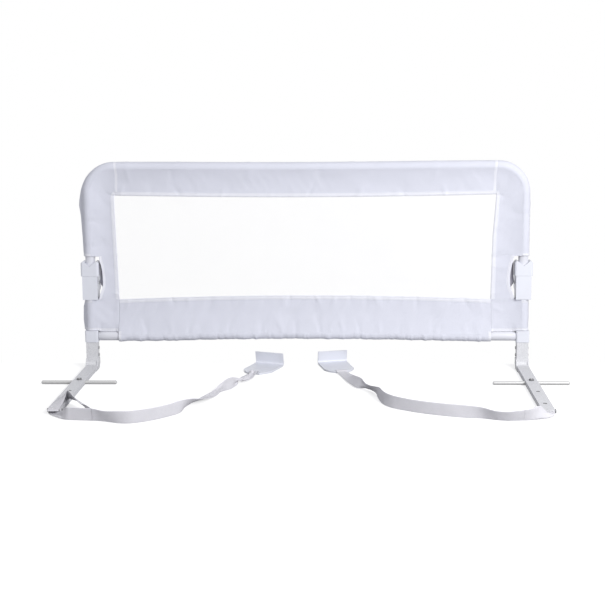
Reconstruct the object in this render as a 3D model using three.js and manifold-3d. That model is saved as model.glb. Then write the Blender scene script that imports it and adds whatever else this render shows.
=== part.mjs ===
// Fold-down guard rail for a child's bed: tube frame, cloth cover, two hinges, two arms and two straps.
// Millimetres, +Z up, +X along the rail, -Y towards the mattress. The arms lie on z = 0.
import * as THREE from 'three';
import { mergeVertices } from 'three/addons/utils/BufferGeometryUtils.js';
import Module from 'manifold-3d';

const wasm = await Module();
wasm.setup();

// Clearances and the overrun of every cut
const seatGap = 0.3;
const cutOverrun = 2;

// Tube frame, with heights of the tubes' axes above the floor
const postSpacing = 968;
const tubeDiameter = 22;
const tubeWall = 1.2;
const topTubeHeight = 455.5;
const bottomRailHeight = 74.5;
const tubeBendRadius = 58;
const tubeSides = 18;
const bendSteps = 7;

// Fold hinge
const pivotHeight = 194;
const pivotSetback = 14;
const hingePinDiameter = 6;
const hingePinHeadDiameter = 10;
const hingePinHeadHeight = 1.6;
const hingeBodyWidth = 33.6;
const hingeBodyFront = 15;
const hingeBossRadius = 18.1;
const hingeFrontWall = 3;
const hingeSocketWall = 2.4;
const hingeSocketDepth = 17.3;
const forkFloorThickness = 1.7;
const forkMouthLip = 2.3;
const knuckleWidth = 22.6;
const knuckleBarrelRadius = 12;
const knuckleSwingGap = 4;
const knuckleNeckRise = 4;
const knuckleSpigotHeight = 26;
const knucklePinDiameter = 4;
const knucklePinRise = 12;

// Lock sleeve
const lockWidth = 40.2;
const lockFront = 15;
const lockBack = 12;
const lockHeight = 33;
const lockCorner = 5;
const lockShoulder = 4;
const lockNotchWidth = 27;
const lockNotchDepth = 11;
const lockTravel = 10;

// Corner connector
const connectorWidth = 29.6;
const connectorFront = 14;
const connectorBack = 13.7;
const connectorHeight = 26;
const connectorCorner = 4;
const spigotLength = 28;

// Arm
const armWidth = 25.6;
const armSheet = 1.5;
const armReach = 392;
const armDepth = 10;
const armFlangeBack = 8;
const armBendRadius = 8;
const armHeelRadius = 11;
const armHolePitch = 93;
const armFirstHole = 152;
const armHoleDiameter = 7.6;
const gussetThickness = 1.4;
const gussetReach = 38;
const gussetHeight = 24;
const rivetDiameter = 4.4;
const rivetHeadDiameter = 8;
const rivetHeadHeight = 2;
const rivetInset = 14.2;
const rivetPitch = 16;

// Cross rod and its bolt
const rodDiameter = 8;
const rodLength = 164;
const rodChamfer = 1.6;
const rodFloorGap = 0.4;
const boltDiameter = 4.4;
const boltHeadDiameter = 10.6;
const boltHeadHeight = 3.2;
const boltSocketWidth = 4.6;
const boltSocketDepth = 1.8;
const boltTipHeight = 1.2;

// Small screws that hold the plastic pieces
const screwDiameter = 4;
const screwHeadDiameter = 8;
const screwHeadHeight = 1.8;
const screwReach = 7;

// Strap, its pin and its anchor plate
const webbingThickness = 1.4;
const strapPinDiameter = 4;
const strapPinHeadDiameter = 6.4;
const strapPinHeadHeight = 1.6;
const strapPinHeight = 4.4;
const strapPinInset = 18;
const anchorWidth = 68;
const anchorDepth = 97;
const anchorThickness = 4;
const anchorUprightHeight = 30;
const anchorUprightLean = 6;
const anchorBendRadius = 8;
const anchorSlotWidth = 27;
const anchorSlotOpening = 5;
const anchorSlotBar = 5.5;
const anchorBendSteps = 5;
const anchorFrontShares = [[1, 0.72], [0.76, 0.89], [0.42, 1]];
const anchorPlaces = {
  left: { x: -83, y: 30, turn: -20 },
  right: { x: 57.8, y: 47.5, turn: 14 },
};

// Cloth cover and its window
const clothThickness = 1.2;
const clothGap = 0.6;
const hemThickness = 3;
const hemStitchWidth = 8;
const innerSeamGap = 0.6;
const sideBandWidth = 66;
const topBandDepth = 62;
const bottomBandDepth = 86.5;
const windowCornerRadius = 8;
const topSeamInset = 2;
const lockCoverGap = 1.6;
const hingeCoverGap = 5;
const connectorCoverGap = 0.5;
const flapOverlap = 6;
const flapHollow = 14;
const sleeveSides = 12;

// Edges of the side cover beside the hinge: [share of the hollow, share of the flap's height], top to bottom
const upperFlapShares = [[0.5, 1], [0.25, 0.913], [0.55, 0.68], [0.8, 0.44], [0.78, 0.12], [0.72, 0]];
const lowerFlapShares = [[0.96, 1], [0.7, 0.74], [0.36, 0.48], [0.3, 0.13], [0.6, 0]];

// Window mesh
const netThickness = 0.8;
const netBorder = 6;
const netStrand = 4;
const netColumns = 24;
const netUpperRows = 6;
const netLowerRows = 1;

// Derived sizes
const postX = postSpacing / 2;
const tubeRadius = tubeDiameter / 2;
const boreRadius = tubeRadius + seatGap;
const spigotRadius = tubeRadius - tubeWall - seatGap;
const sleeveBoreRadius = tubeRadius + clothGap;
const coverRadius = sleeveBoreRadius + clothThickness;
const armWebFront = tubeRadius + seatGap + armSheet;
const hingeBodyTop = pivotHeight + hingeBossRadius;
const forkFloorHeight = pivotHeight - knuckleBarrelRadius - knuckleSwingGap;
const hingeSocketTop = forkFloorHeight - forkFloorThickness;
const hingeBodyBottom = hingeSocketTop - hingeSocketDepth;
const hingeBodyBack = boreRadius + hingeSocketWall;
const hingeScrewHeight = (hingeBodyBottom + hingeSocketTop) / 2;
const knuckleNeckTop = hingeBodyTop;
const knucklePinHeight = knuckleNeckTop + knucklePinRise;
const lockBottom = hingeBodyTop + seatGap;
const lockTop = lockBottom + lockHeight;
const connectorBottom = bottomRailHeight - connectorHeight / 2;
const connectorTop = bottomRailHeight + connectorHeight / 2;
const armTop = connectorBottom - seatGap;
const rivetHeights = [armTop - rivetInset, armTop - rivetInset - rivetPitch];
const rodHeight = rodDiameter / 2 + rodFloorGap;
const strapPinReach = armReach - strapPinInset;
const foldLine = pivotHeight;
const windowHalfWidth = postX - sideBandWidth;
const windowTop = topTubeHeight - topBandDepth;
const windowBottom = bottomRailHeight + bottomBandDepth;
const seamTopX = postX - tubeBendRadius + topSeamInset;
const seamHemX = windowHalfWidth + windowCornerRadius;
const upperSleeveEnd = lockTop + lockTravel + lockCoverGap;
const lowerSleeveTop = hingeBodyBottom - hingeCoverGap;
const lowerSleeveBottom = connectorTop + connectorCoverGap;
const overallFront = -armReach;
const overallBack = pivotSetback + hingeBossRadius;

const finishes = {
  powderCoat: { color: 0xe6e6ee, roughness: 0.4, metalness: 0.1 },
  whitePlastic: { color: 0xe9e9f2, roughness: 0.45, metalness: 0 },
  zincSteel: { color: 0xb9b9bb, roughness: 0.35, metalness: 0.9 },
  darkSteel: { color: 0x4a4a4d, roughness: 0.45, metalness: 0.8 },
  polyester: { color: 0xdcdce8, roughness: 0.85, metalness: 0 },
  webbing: { color: 0xc9c9d2, roughness: 0.8, metalness: 0 },
  mesh: { color: 0xf4f4f6, roughness: 0.9, metalness: 0 },
};

// Six times the signed volume: positive when the faces point out.
function signedVolume(positions, index) {
  const corners = [new THREE.Vector3(), new THREE.Vector3(), new THREE.Vector3()];
  let sum = 0;
  for (let i = 0; i < index.length; i += corners.length) {
    corners.forEach((corner, k) => corner.fromArray(positions, index[i + k] * corners.length));
    sum += corners[0].dot(corners[1].clone().cross(corners[2]));
  }
  return sum;
}

// Welds a geometry's shared corners and turns its faces outwards.
function welded(geometry) {
  const plain = geometry.clone();
  plain.deleteAttribute('normal');
  plain.deleteAttribute('uv');
  const merged = mergeVertices(plain);
  const index = merged.index.array;
  if (signedVolume(merged.attributes.position.array, index) < 0) {
    for (let i = 0; i < index.length; i += 3) {
      [index[i + 1], index[i + 2]] = [index[i + 2], index[i + 1]];
    }
  }
  return merged;
}

function toSolid(geometry) {
  const closed = welded(geometry);
  const vertProperties = Float32Array.from(closed.attributes.position.array);
  const triVerts = Uint32Array.from(closed.index.array);
  return new wasm.Manifold(new wasm.Mesh({ numProp: 3, vertProperties, triVerts }));
}

function toGeometry(solid) {
  const faces = solid.getMesh();
  const geometry = new THREE.BufferGeometry();
  geometry.setAttribute('position', new THREE.BufferAttribute(new Float32Array(faces.vertProperties), 3));
  geometry.setIndex(new THREE.BufferAttribute(new Uint32Array(faces.triVerts), 1));
  return geometry;
}

function cut(geometry, tools) {
  return toGeometry(tools.reduce((body, tool) => body.subtract(toSolid(tool)), toSolid(geometry)));
}

function join(geometries) {
  const solids = geometries.map(toSolid);
  return toGeometry(solids.slice(1).reduce((body, next) => body.add(next), solids[0]));
}

function shapeOf(points) {
  return new THREE.Shape(points.map(([a, b]) => new THREE.Vector2(a, b)));
}

// Extrusions whose outline lies in the plane across the named axis.
function alongZ(shape, bottom, top) {
  const settings = { depth: top - bottom, bevelEnabled: false, curveSegments: 8 };
  const geometry = new THREE.ExtrudeGeometry(shape, settings);
  return geometry.translate(0, 0, bottom);
}

function alongX(shape, low, high) {
  const geometry = alongZ(shape, low, high);
  const turn = new THREE.Matrix4().makeBasis(
    new THREE.Vector3(0, 1, 0), new THREE.Vector3(0, 0, 1), new THREE.Vector3(1, 0, 0));
  return geometry.applyMatrix4(turn);
}

function alongY(shape, low, high) {
  return alongZ(shape, -high, -low).rotateX(Math.PI / 2);
}

function box(xRange, yRange, zRange) {
  const ranges = [xRange, yRange, zRange];
  const size = ranges.map(([low, high]) => high - low);
  const centre = ranges.map(([low, high]) => (low + high) / 2);
  return new THREE.BoxGeometry(...size).translate(...centre);
}

// Turned pieces: a profile of [radius, place along the axis] that starts and ends on the axis.
function turned(profile, axis, sides = 16) {
  const geometry = new THREE.LatheGeometry(profile.map(([r, a]) => new THREE.Vector2(r, a)), sides);
  if (axis === 'x') geometry.rotateZ(-Math.PI / 2);
  if (axis === 'y') geometry.rotateZ(Math.PI);
  if (axis === 'z') geometry.rotateX(Math.PI / 2);
  return geometry;
}

function cylinder(radius, low, high, axis, sides) {
  return turned([[0, low], [radius, low], [radius, high], [0, high]], axis, sides);
}

// Rounded rectangle from opposite corners.
function roundedRectangle(low, high, radius) {
  const shape = new THREE.Shape();
  shape.moveTo(low[0] + radius, low[1]);
  shape.lineTo(high[0] - radius, low[1]);
  shape.absarc(high[0] - radius, low[1] + radius, radius, -Math.PI / 2, 0, false);
  shape.lineTo(high[0], high[1] - radius);
  shape.absarc(high[0] - radius, high[1] - radius, radius, 0, Math.PI / 2, false);
  shape.lineTo(low[0] + radius, high[1]);
  shape.absarc(low[0] + radius, high[1] - radius, radius, Math.PI / 2, Math.PI, false);
  shape.lineTo(low[0], low[1] + radius);
  shape.absarc(low[0] + radius, low[1] + radius, radius, Math.PI, Math.PI * 1.5, false);
  return shape;
}

// A path through given points, with a section direction given or carried along.
class PointPath extends THREE.Curve {
  constructor(points) {
    super();
    this.points = points;
  }

  getPoint(t) {
    const last = this.points.length - 1;
    const low = Math.min(Math.floor(t * last), last - 1);
    return this.points[low].clone().lerp(this.points[low + 1], t * last - low);
  }

  getPointAt(t) {
    return this.getPoint(t);
  }

  getTangent(t) {
    const last = this.points.length - 1;
    const near = Math.round(t * last);
    const before = this.points[Math.max(near - 1, 0)];
    const after = this.points[Math.min(near + 1, last)];
    return after.clone().sub(before).normalize();
  }

  getTangentAt(t) {
    return this.getTangent(t);
  }

  getSpacedPoints(divisions) {
    return Array.from({ length: divisions + 1 }, (_, k) => this.getPoint(k / divisions));
  }
}

function sweep(shape, path) {
  const steps = path.points.length - 1;
  return welded(new THREE.ExtrudeGeometry(shape, { steps, extrudePath: path, bevelEnabled: false }));
}

function ringShape(outer, inner, sides) {
  const circle = (radius) => Array.from({ length: sides }, (_, k) => {
    const angle = (k / sides) * Math.PI * 2;
    return new THREE.Vector2(radius * Math.cos(angle), radius * Math.sin(angle));
  });
  const shape = new THREE.Shape(circle(outer));
  shape.holes.push(new THREE.Path(circle(inner).reverse()));
  return shape;
}

function tube(points) {
  return sweep(ringShape(tubeRadius, tubeRadius - tubeWall, tubeSides), new PointPath(points));
}

const assembly = new THREE.Group();
assembly.position.y = -(overallFront + overallBack) / 2;

function place(name, geometry, finish, x = 0, group = assembly) {
  const material = new THREE.MeshStandardMaterial(finishes[finish]);
  const mesh = new THREE.Mesh(welded(geometry), material);
  mesh.name = name;
  mesh.position.x = x;
  group.add(mesh);
  return mesh;
}

const sides = [
  { name: 'left', sign: -1 },
  { name: 'right', sign: 1 },
];

// Mirrors a piece made for the right side, so the left one is its image.
function handed(geometry, sign) {
  return welded(geometry.clone().scale(sign, 1, 1));
}

// Holes across a post tube, at a height.
function crossHole(diameter, height, y = 0, axis = 'x') {
  const reach = armWidth + cutOverrun;
  const hole = cylinder(diameter / 2 + seatGap, -reach, reach, axis, 12);
  return axis === 'x' ? hole.translate(0, y, height) : hole.translate(0, 0, height);
}

// The U-shaped top tube, from its left end up, over and down to the right.
function topTube() {
  const bendCentreX = postX - tubeBendRadius;
  const bendCentreZ = topTubeHeight - tubeBendRadius;
  const bend = (sign, k) => {
    const angle = (k / bendSteps) * (Math.PI / 2);
    const x = sign * (bendCentreX + tubeBendRadius * Math.cos(angle));
    return new THREE.Vector3(x, 0, bendCentreZ + tubeBendRadius * Math.sin(angle));
  };
  const steps = Array.from({ length: bendSteps + 1 }, (_, k) => k);
  const points = [
    new THREE.Vector3(-postX, 0, knuckleNeckTop + seatGap),
    ...steps.map((k) => bend(-1, k)),
    ...steps.map((k) => bend(1, bendSteps - k)),
    new THREE.Vector3(postX, 0, knuckleNeckTop + seatGap),
  ];
  const holes = sides.map(({ sign }) => crossHole(knucklePinDiameter, knucklePinHeight)
    .translate(sign * postX, 0, 0));
  return cut(tube(points), holes);
}

// A plain post, with holes for the arm's rivets and the two screws.
function lowerPost() {
  const bottom = armDepth + armHeelRadius + seatGap;
  const top = hingeSocketTop - seatGap;
  const post = tube([new THREE.Vector3(0, 0, bottom), new THREE.Vector3(0, 0, top)]);
  const holes = rivetHeights.map((height) => crossHole(rivetDiameter, height));
  const screws = [bottomRailHeight, hingeScrewHeight].map((height) => screwHole(height));
  return cut(post, [...holes, ...screws]);
}

// A screw comes in from the back, along -Y, through the plastic and the tube's wall.
function screwHole(height) {
  const start = tubeRadius - screwReach;
  return cylinder(screwDiameter / 2 + seatGap, start, tubeDiameter, 'y', 12)
    .scale(1, -1, 1)
    .translate(0, 0, height);
}

function screw(faceY, height) {
  const tip = tubeRadius - screwReach + seatGap;
  const head = faceY + seatGap;
  const profile = [
    [0, tip], [screwDiameter / 2, tip], [screwDiameter / 2, head], [screwHeadDiameter / 2, head],
    [screwHeadDiameter / 2, head + screwHeadHeight / 2], [screwDiameter / 2, head + screwHeadHeight],
    [0, head + screwHeadHeight],
  ];
  return turned(profile, 'y', 14).scale(1, -1, 1).translate(0, 0, height);
}

function bottomRail() {
  const end = postX - connectorWidth / 2 - seatGap;
  return tube([new THREE.Vector3(-end, 0, bottomRailHeight), new THREE.Vector3(end, 0, bottomRailHeight)]);
}

// Plastic sleeve round the post with a spigot that plugs into the bottom rail; the spigot points to -X.
function cornerConnector() {
  const half = connectorWidth / 2;
  const outline = roundedRectangle([-half, -connectorFront], [half, connectorBack], connectorCorner);
  const block = alongZ(outline, connectorBottom, connectorTop);
  const spigot = cylinder(spigotRadius, -half - spigotLength, -half + cutOverrun, 'x', 16)
    .translate(0, 0, bottomRailHeight);
  const bore = cylinder(boreRadius, connectorBottom - cutOverrun, connectorTop + cutOverrun, 'z', tubeSides);
  return cut(join([block, spigot]), [bore, screwHole(bottomRailHeight)]);
}

// Fork with a socket for the post below and two cheeks round the pin; open at the back for the knuckle.
function hingeBody() {
  const shape = new THREE.Shape();
  shape.moveTo(-hingeBodyFront, hingeBodyBottom);
  shape.lineTo(hingeBodyBack, hingeBodyBottom);
  shape.lineTo(hingeBodyBack, pivotHeight - hingeBossRadius);
  shape.absarc(pivotSetback, pivotHeight, hingeBossRadius, -Math.PI / 2, Math.PI / 2, false);
  shape.lineTo(-hingeBodyFront, hingeBodyTop);
  const half = hingeBodyWidth / 2;
  const slot = knuckleWidth / 2 + seatGap;
  const fork = box([-slot, slot], [-hingeBodyFront + hingeFrontWall, overallBack + cutOverrun],
    [forkFloorHeight, hingeBodyTop + cutOverrun]);
  const forkMouth = box([-slot, slot], [hingeBodyBack + forkMouthLip, overallBack + cutOverrun],
    [pivotHeight - hingeBossRadius - cutOverrun, forkFloorHeight + cutOverrun]);
  const socket = cylinder(boreRadius, hingeBodyBottom - cutOverrun, hingeSocketTop, 'z', tubeSides);
  const pin = cylinder(hingePinDiameter / 2 + seatGap, -hingeBodyWidth, hingeBodyWidth, 'x', 16)
    .translate(0, pivotSetback, pivotHeight);
  return cut(alongX(shape, -half, half), [fork, forkMouth, socket, pin, screwHole(hingeScrewHeight)]);
}

// Pin with a flat head outside and a riveted end inside; it carries the knuckle.
function hingePin() {
  const shank = hingePinDiameter / 2;
  const head = hingePinHeadDiameter / 2;
  const end = hingeBodyWidth / 2 + seatGap;
  const tail = end + hingePinHeadHeight;
  return turned([[0, -tail], [shank, -tail], [head, -end], [shank, -end], [shank, end], [head, end],
    [head, end + hingePinHeadHeight / 2], [shank, tail], [0, tail]], 'x', 18)
    .translate(0, pivotSetback, pivotHeight);
}

// Barrel round the pin, a neck in line with the tube and a spigot inside it.
function knuckle() {
  const half = knuckleWidth / 2;
  const barrel = cylinder(knuckleBarrelRadius, -half, half, 'x', 20).translate(0, pivotSetback, pivotHeight);
  const neckBottom = pivotHeight + knuckleNeckRise;
  const neck = box([-half, half], [-boreRadius, boreRadius], [neckBottom, knuckleNeckTop]);
  const spigotTop = knuckleNeckTop + knuckleSpigotHeight;
  const spigot = cylinder(spigotRadius, knuckleNeckTop - cutOverrun, spigotTop, 'z', 16);
  const bore = cylinder(hingePinDiameter / 2 + seatGap, -hingeBodyWidth, hingeBodyWidth, 'x', 16)
    .translate(0, pivotSetback, pivotHeight);
  return cut(join([barrel, neck, spigot]), [bore, crossHole(knucklePinDiameter, knucklePinHeight)]);
}

function knucklePin() {
  const half = tubeRadius - seatGap;
  return cylinder(knucklePinDiameter / 2, -half, half, 'x', 12).translate(0, 0, knucklePinHeight);
}

// Sleeve that slides on the post: a funnel-shaped notch at the top front and back leaves two shoulders.
function lockSleeve() {
  const half = lockWidth / 2;
  const front = shapeOf([
    [-half, lockBottom], [half, lockBottom], [half, lockTop - lockShoulder], [half - lockShoulder, lockTop],
    [lockNotchWidth / 2, lockTop], [0, lockTop - lockNotchDepth], [-lockNotchWidth / 2, lockTop],
    [-half + lockShoulder, lockTop], [-half, lockTop - lockShoulder],
  ]);
  const outline = roundedRectangle([-half, -lockFront], [half, lockBack], lockCorner);
  const plan = alongZ(outline, lockBottom, lockTop);
  const faced = alongY(front, -lockFront - cutOverrun, lockBack + cutOverrun);
  const bore = cylinder(boreRadius, lockBottom - cutOverrun, lockTop + cutOverrun, 'z', tubeSides);
  return toGeometry(toSolid(plan).intersect(toSolid(faced)).subtract(toSolid(bore)));
}

// Side view of the arm: leg down the post, round the heel and out to the tip. inset moves the web back.
function armProfile(inset, overrun) {
  const legFront = armWebFront - inset;
  const webTop = armDepth - inset;
  const radius = armBendRadius + inset;
  const top = armTop + overrun;
  const shape = new THREE.Shape();
  shape.moveTo(-legFront, top);
  shape.lineTo(-legFront, webTop + radius);
  shape.absarc(-legFront - radius, webTop + radius, radius, 0, -Math.PI / 2, true);
  shape.lineTo(-armReach - overrun, webTop);
  shape.lineTo(-armReach - overrun, -overrun);
  if (overrun > 0) {
    shape.lineTo(armFlangeBack + overrun, -overrun);
  } else {
    shape.lineTo(armFlangeBack - armHeelRadius, 0);
    shape.absarc(armFlangeBack - armHeelRadius, armHeelRadius, armHeelRadius, -Math.PI / 2, 0, false);
  }
  shape.lineTo(armFlangeBack + overrun, top);
  return shape;
}

// Plan of the arm with its half-round tip, long enough to take in the leg.
function armPlan() {
  const half = armWidth / 2 + gussetThickness;
  const tip = armWidth / 2;
  const shape = new THREE.Shape();
  shape.moveTo(half, armFlangeBack + cutOverrun);
  shape.lineTo(-half, armFlangeBack + cutOverrun);
  shape.lineTo(-half, -gussetReach - cutOverrun);
  shape.lineTo(-tip, -gussetReach - cutOverrun);
  shape.lineTo(-tip, -armReach + tip);
  shape.absarc(0, -armReach + tip, tip, Math.PI, Math.PI * 2, false);
  shape.lineTo(tip, -gussetReach - cutOverrun);
  shape.lineTo(half, -gussetReach - cutOverrun);
  return shape;
}

// Steel channel: the web faces the mattress, the flanges wrap the post and stand on the floor.
function arm() {
  const half = armWidth / 2;
  const inner = half - armSheet;
  const outside = alongX(armProfile(0, 0), -half, half);
  const inside = alongX(armProfile(armSheet, cutOverrun), -inner, inner);
  const gusset = shapeOf([
    [-gussetReach, 0], [armFlangeBack - armHeelRadius, 0], [armFlangeBack, armHeelRadius],
    [armFlangeBack, gussetHeight], [-armWebFront + armSheet, gussetHeight],
    [-armWebFront - armBendRadius, armDepth - seatGap], [-gussetReach, armDepth / 2],
  ]);
  const wide = half + gussetThickness;
  const gussets = [[-wide, -inner], [inner, wide]].map(([low, high]) => alongX(gusset, low, high));
  const plan = alongZ(armPlan(), -cutOverrun, connectorTop);
  const webHoles = [0, 1, 2].map((k) => {
    const diameter = k === 0 ? boltDiameter + seatGap : armHoleDiameter;
    return cylinder(diameter / 2 + seatGap, armDepth / 2, armDepth + cutOverrun, 'z', 14)
      .translate(0, -armFirstHole - k * armHolePitch, 0);
  });
  const notchHalf = rodDiameter / 2 + seatGap;
  const rodNotch = [
    cylinder(notchHalf, -wide - cutOverrun, wide + cutOverrun, 'x', 16)
      .translate(0, -armFirstHole, rodHeight),
    box([-wide - cutOverrun, wide + cutOverrun], [-armFirstHole - notchHalf, -armFirstHole + notchHalf],
      [-cutOverrun, rodHeight]),
  ];
  const strapHole = cylinder(strapPinDiameter / 2 + seatGap, -wide - cutOverrun, wide + cutOverrun, 'x', 12)
    .translate(0, -strapPinReach, strapPinHeight);
  const rivetHoles = rivetHeights.map((height) => crossHole(rivetDiameter, height));
  const body = toSolid(join([outside, ...gussets])).intersect(toSolid(plan));
  const tools = [inside, ...webHoles, ...rodNotch, strapHole, ...rivetHoles];
  return toGeometry(tools.reduce((solid, tool) => solid.subtract(toSolid(tool)), body));
}

// A domed rivet across the arm and the post.
function armRivet(height) {
  const shank = rivetDiameter / 2;
  const head = rivetHeadDiameter / 2;
  const start = armWidth / 2 + seatGap;
  const end = start + rivetHeadHeight;
  return turned([[0, -end], [shank, -end], [head, -start], [shank, -start], [shank, start], [head, start],
    [shank, end], [0, end]], 'x', 14).translate(0, 0, height);
}

function crossRod() {
  const radius = rodDiameter / 2;
  const end = rodLength / 2;
  const rod = turned([[0, -end], [radius - rodChamfer, -end], [radius, -end + rodChamfer],
    [radius, end - rodChamfer], [radius - rodChamfer, end], [0, end]], 'x', 14);
  const hole = cylinder(boltDiameter / 2 + seatGap, -rodDiameter, rodDiameter, 'z', 12);
  return cut(rod, [hole]).translate(0, -armFirstHole, rodHeight);
}

// Socket-head bolt from the web's top down into the rod.
function rodBolt() {
  const shank = boltDiameter / 2;
  const head = boltHeadDiameter / 2;
  const seat = armDepth + seatGap;
  const top = seat + boltHeadHeight;
  const body = turned([[0, boltTipHeight], [shank, boltTipHeight], [shank, seat], [head, seat],
    [head, seat + boltHeadHeight / 2], [boltSocketWidth, top], [0, top]], 'z', 16);
  const socket = cylinder(boltSocketWidth / 2, top - boltSocketDepth, top + cutOverrun, 'z', 6);
  return cut(body, [socket]).translate(0, -armFirstHole, 0);
}

// Pin across the arm's tip; its larger head is on the outer side, at +X.
function strapPin() {
  const shank = strapPinDiameter / 2;
  const head = strapPinHeadDiameter / 2;
  const seat = armWidth / 2 + seatGap;
  const tail = seat + strapPinHeadHeight / 2;
  const top = seat + strapPinHeadHeight;
  const flare = shank + strapPinHeadHeight / 2;
  return turned([[0, -tail], [shank, -tail], [flare, -seat], [shank, -seat], [shank, seat], [head, seat],
    [head, tail], [shank, top], [0, top]], 'x', 14).translate(0, -strapPinReach, strapPinHeight);
}

// L-shaped plate on the floor: its front points to -Y, its upright leans over it at the back.
function anchorPlate() {
  const half = anchorWidth / 2;
  const lean = Math.atan2(anchorUprightLean, anchorUprightHeight);
  const profile = (inset) => {
    const radius = anchorBendRadius - inset;
    const centre = [-anchorBendRadius, anchorBendRadius];
    const arc = Array.from({ length: anchorBendSteps + 1 }, (_, k) => {
      const angle = -Math.PI / 2 + (k / anchorBendSteps) * (Math.PI / 2 + lean);
      return [centre[0] + radius * Math.cos(angle), centre[1] + radius * Math.sin(angle)];
    });
    const rise = anchorUprightHeight - arc[arc.length - 1][1];
    const tip = [arc[arc.length - 1][0] - rise * Math.tan(lean), anchorUprightHeight];
    return [[-anchorDepth, inset], ...arc, tip];
  };
  const side = alongX(shapeOf([...profile(0), ...profile(anchorThickness).reverse()]), -half, half);
  const front = anchorFrontShares.map(([width, depth]) => [half * width, -anchorDepth * depth]);
  const plan = alongZ(shapeOf([
    [half, cutOverrun], [-half, cutOverrun],
    ...front.map(([x, y]) => [-x, y]), ...front.reverse(),
  ]), -cutOverrun, anchorUprightHeight + cutOverrun);
  const slotFront = -anchorDepth + anchorSlotBar;
  const slot = box([-anchorSlotWidth / 2, anchorSlotWidth / 2], [slotFront, slotFront + anchorSlotOpening],
    [-cutOverrun, anchorThickness + cutOverrun]);
  return toGeometry(toSolid(side).intersect(toSolid(plan)).subtract(toSolid(slot)));
}

// Strap routes: centre x, y, z and half the webbing's width as a vector, from the sewn end round the pin
// to the anchor's slot.
const strapRoutes = {
  left: [
    [-397, -434.6, 12.9, 0.4, -0.4, 12.5],
    [-411, -421, 14.5, -2.9, -3.8, 11.5],
    [-425, -402, 17.5, -6.8, -6.4, 8],
    [-453, -365, 25.5, -7.4, -8.1, 5.7],
    [-465, -357, 29.5, -0.2, -10.6, 4.7],
    [-475, -362, 31.5, 8.3, -7.8, 0.5],
    [-481, -374, 31, 10.7, -3, -0.5],
    [-483, -389, 25, 11, -0.6, 0],
    [-484, -397.5, 17, 11, 0, 0],
    [-484, -394.8, 7.9, 11, 0, 0],
    [-484, -385, 7.4, 11, 0, 0],
    [-484, -373.4, 7.5, 11, 0, 0],
    [-484, -370.4, 4.4, 11, 0, 0],
    [-484, -373.4, 1.3, 11, 0, 0],
    [-484, -388, 1.8, 11, 0.5, 0],
    [-482, -403, 4.6, 10.4, 3.6, 2.2],
    [-473, -418, 9, 6.6, 6.6, 7.2],
    [-459, -429, 12.2, 1.4, 4, 11.3],
    [-441, -435, 12.9, 0, 0, 12.5],
    [-397, -438, 12.9, 0, 0, 12.5],
    [-374, -447, 12.9, 0, 0, 12.5],
    [-345, -455.5, 12.9, 0, 0, 12.5],
    [-318, -453, 12.9, 0, 0, 12.5],
    [-284, -434, 12.9, 0, 0, 12.5],
    [-254, -405, 12.9, 0, 0, 12.5],
    [-236, -379, 12.9, 0.2, 0.3, 12.5],
    [-223, -342, 10.8, 7.9, -1.9, 9.5],
    [-207, -299, 5, 11.3, -4.1, 3.4],
    [-190, -258, 2.4, 11.4, -5, 0.9],
    [-177, -230, 7, 9.2, -6.4, 5.7],
    [-163, -210, 12.6, 2.1, -3, 11.9],
    [-150, -188, 12.9, -2.7, 1.9, 12.1],
    [-141, -156, 9.2, -9.1, 3.9, 7.6],
    [-130, -124, 4, -11.7, 4, 2.2],
    [-120.5, -92, 2.1, -12, 3.2, 0.5],
    [-116.9, -66.2, 2.5, -12, 3.2, 0],
    [-115.6, -62.4, 5, -11.7, 4.3, 0],
    [-114.2, -58.7, 5.5, -11.7, 4.3, 0],
    [-113, -55.5, 5, -11.7, 4.3, 0],
    [-112.5, -54, 2.4, -11.7, 4.3, 0],
  ],
  right: [
    [431, -431.8, 12.9, 0, 0, 12.5],
    [446, -429.4, 12.9, 0, 0, 12.5],
    [461, -421, 12.6, -1.6, 3.6, 11.6],
    [474, -409.4, 10.8, -5.9, 7, 8],
    [482.6, -400.4, 7.9, -10.1, 4.1, 1.6],
    [484, -389, 7.3, -11, 0.2, 0],
    [484, -373.4, 7.5, -11, 0, 0],
    [484, -370.4, 4.4, -11, 0, 0],
    [484, -373.4, 1.3, -11, 0, 0],
    [484, -387, 1.9, -11, 0.3, 0],
    [481.2, -396.6, 3.9, -9.9, 4.5, 1.3],
    [471, -405.8, 8.3, -5.5, 7.9, 7.3],
    [456.5, -416, 12.4, -1.3, 3.8, 11.6],
    [441, -425.4, 13, 0, 0, 12.5],
    [425, -429, 13, 0, 0, 12.5],
    [400, -430.5, 12.9, -0.4, -3, 12.1],
    [376, -425, 12.4, -1.5, -4.9, 11.3],
    [350, -415, 12.9, -0.8, -3, 12.1],
    [320, -408, 12.9, 0, 0, 12.5],
    [282, -396, 12.9, 0, 0, 12.5],
    [246, -381, 12.9, 0, 0, 12.5],
    [213, -358, 12.9, 0, 0, 12.5],
    [183, -327, 12.9, 0, 0, 12.5],
    [165, -294, 12.9, 0, 0, 12.5],
    [158, -256, 12.9, -3, -0.4, 12.1],
    [150, -221, 10.9, -7.2, -3.1, 9.7],
    [133, -198, 12.6, -4.6, -4.2, 10.8],
    [116, -178, 13.2, 1.7, 1.4, 12.3],
    [105, -150, 11, 7.2, 3.7, 9.5],
    [96, -122, 6.8, 10.8, 3.8, 5],
    [88.5, -92, 2.8, 12.1, 2.5, 1.4],
    [82, -51.6, 2.6, 12.1, 2.8, 0],
    [81, -47.7, 5, 12.1, 3, 0],
    [80.1, -43.8, 5.5, 12.1, 3, 0],
    [79.2, -40.5, 5, 12.1, 3, 0],
    [78.8, -39, 2.4, 12.1, 3, 0],
  ],
};

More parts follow.
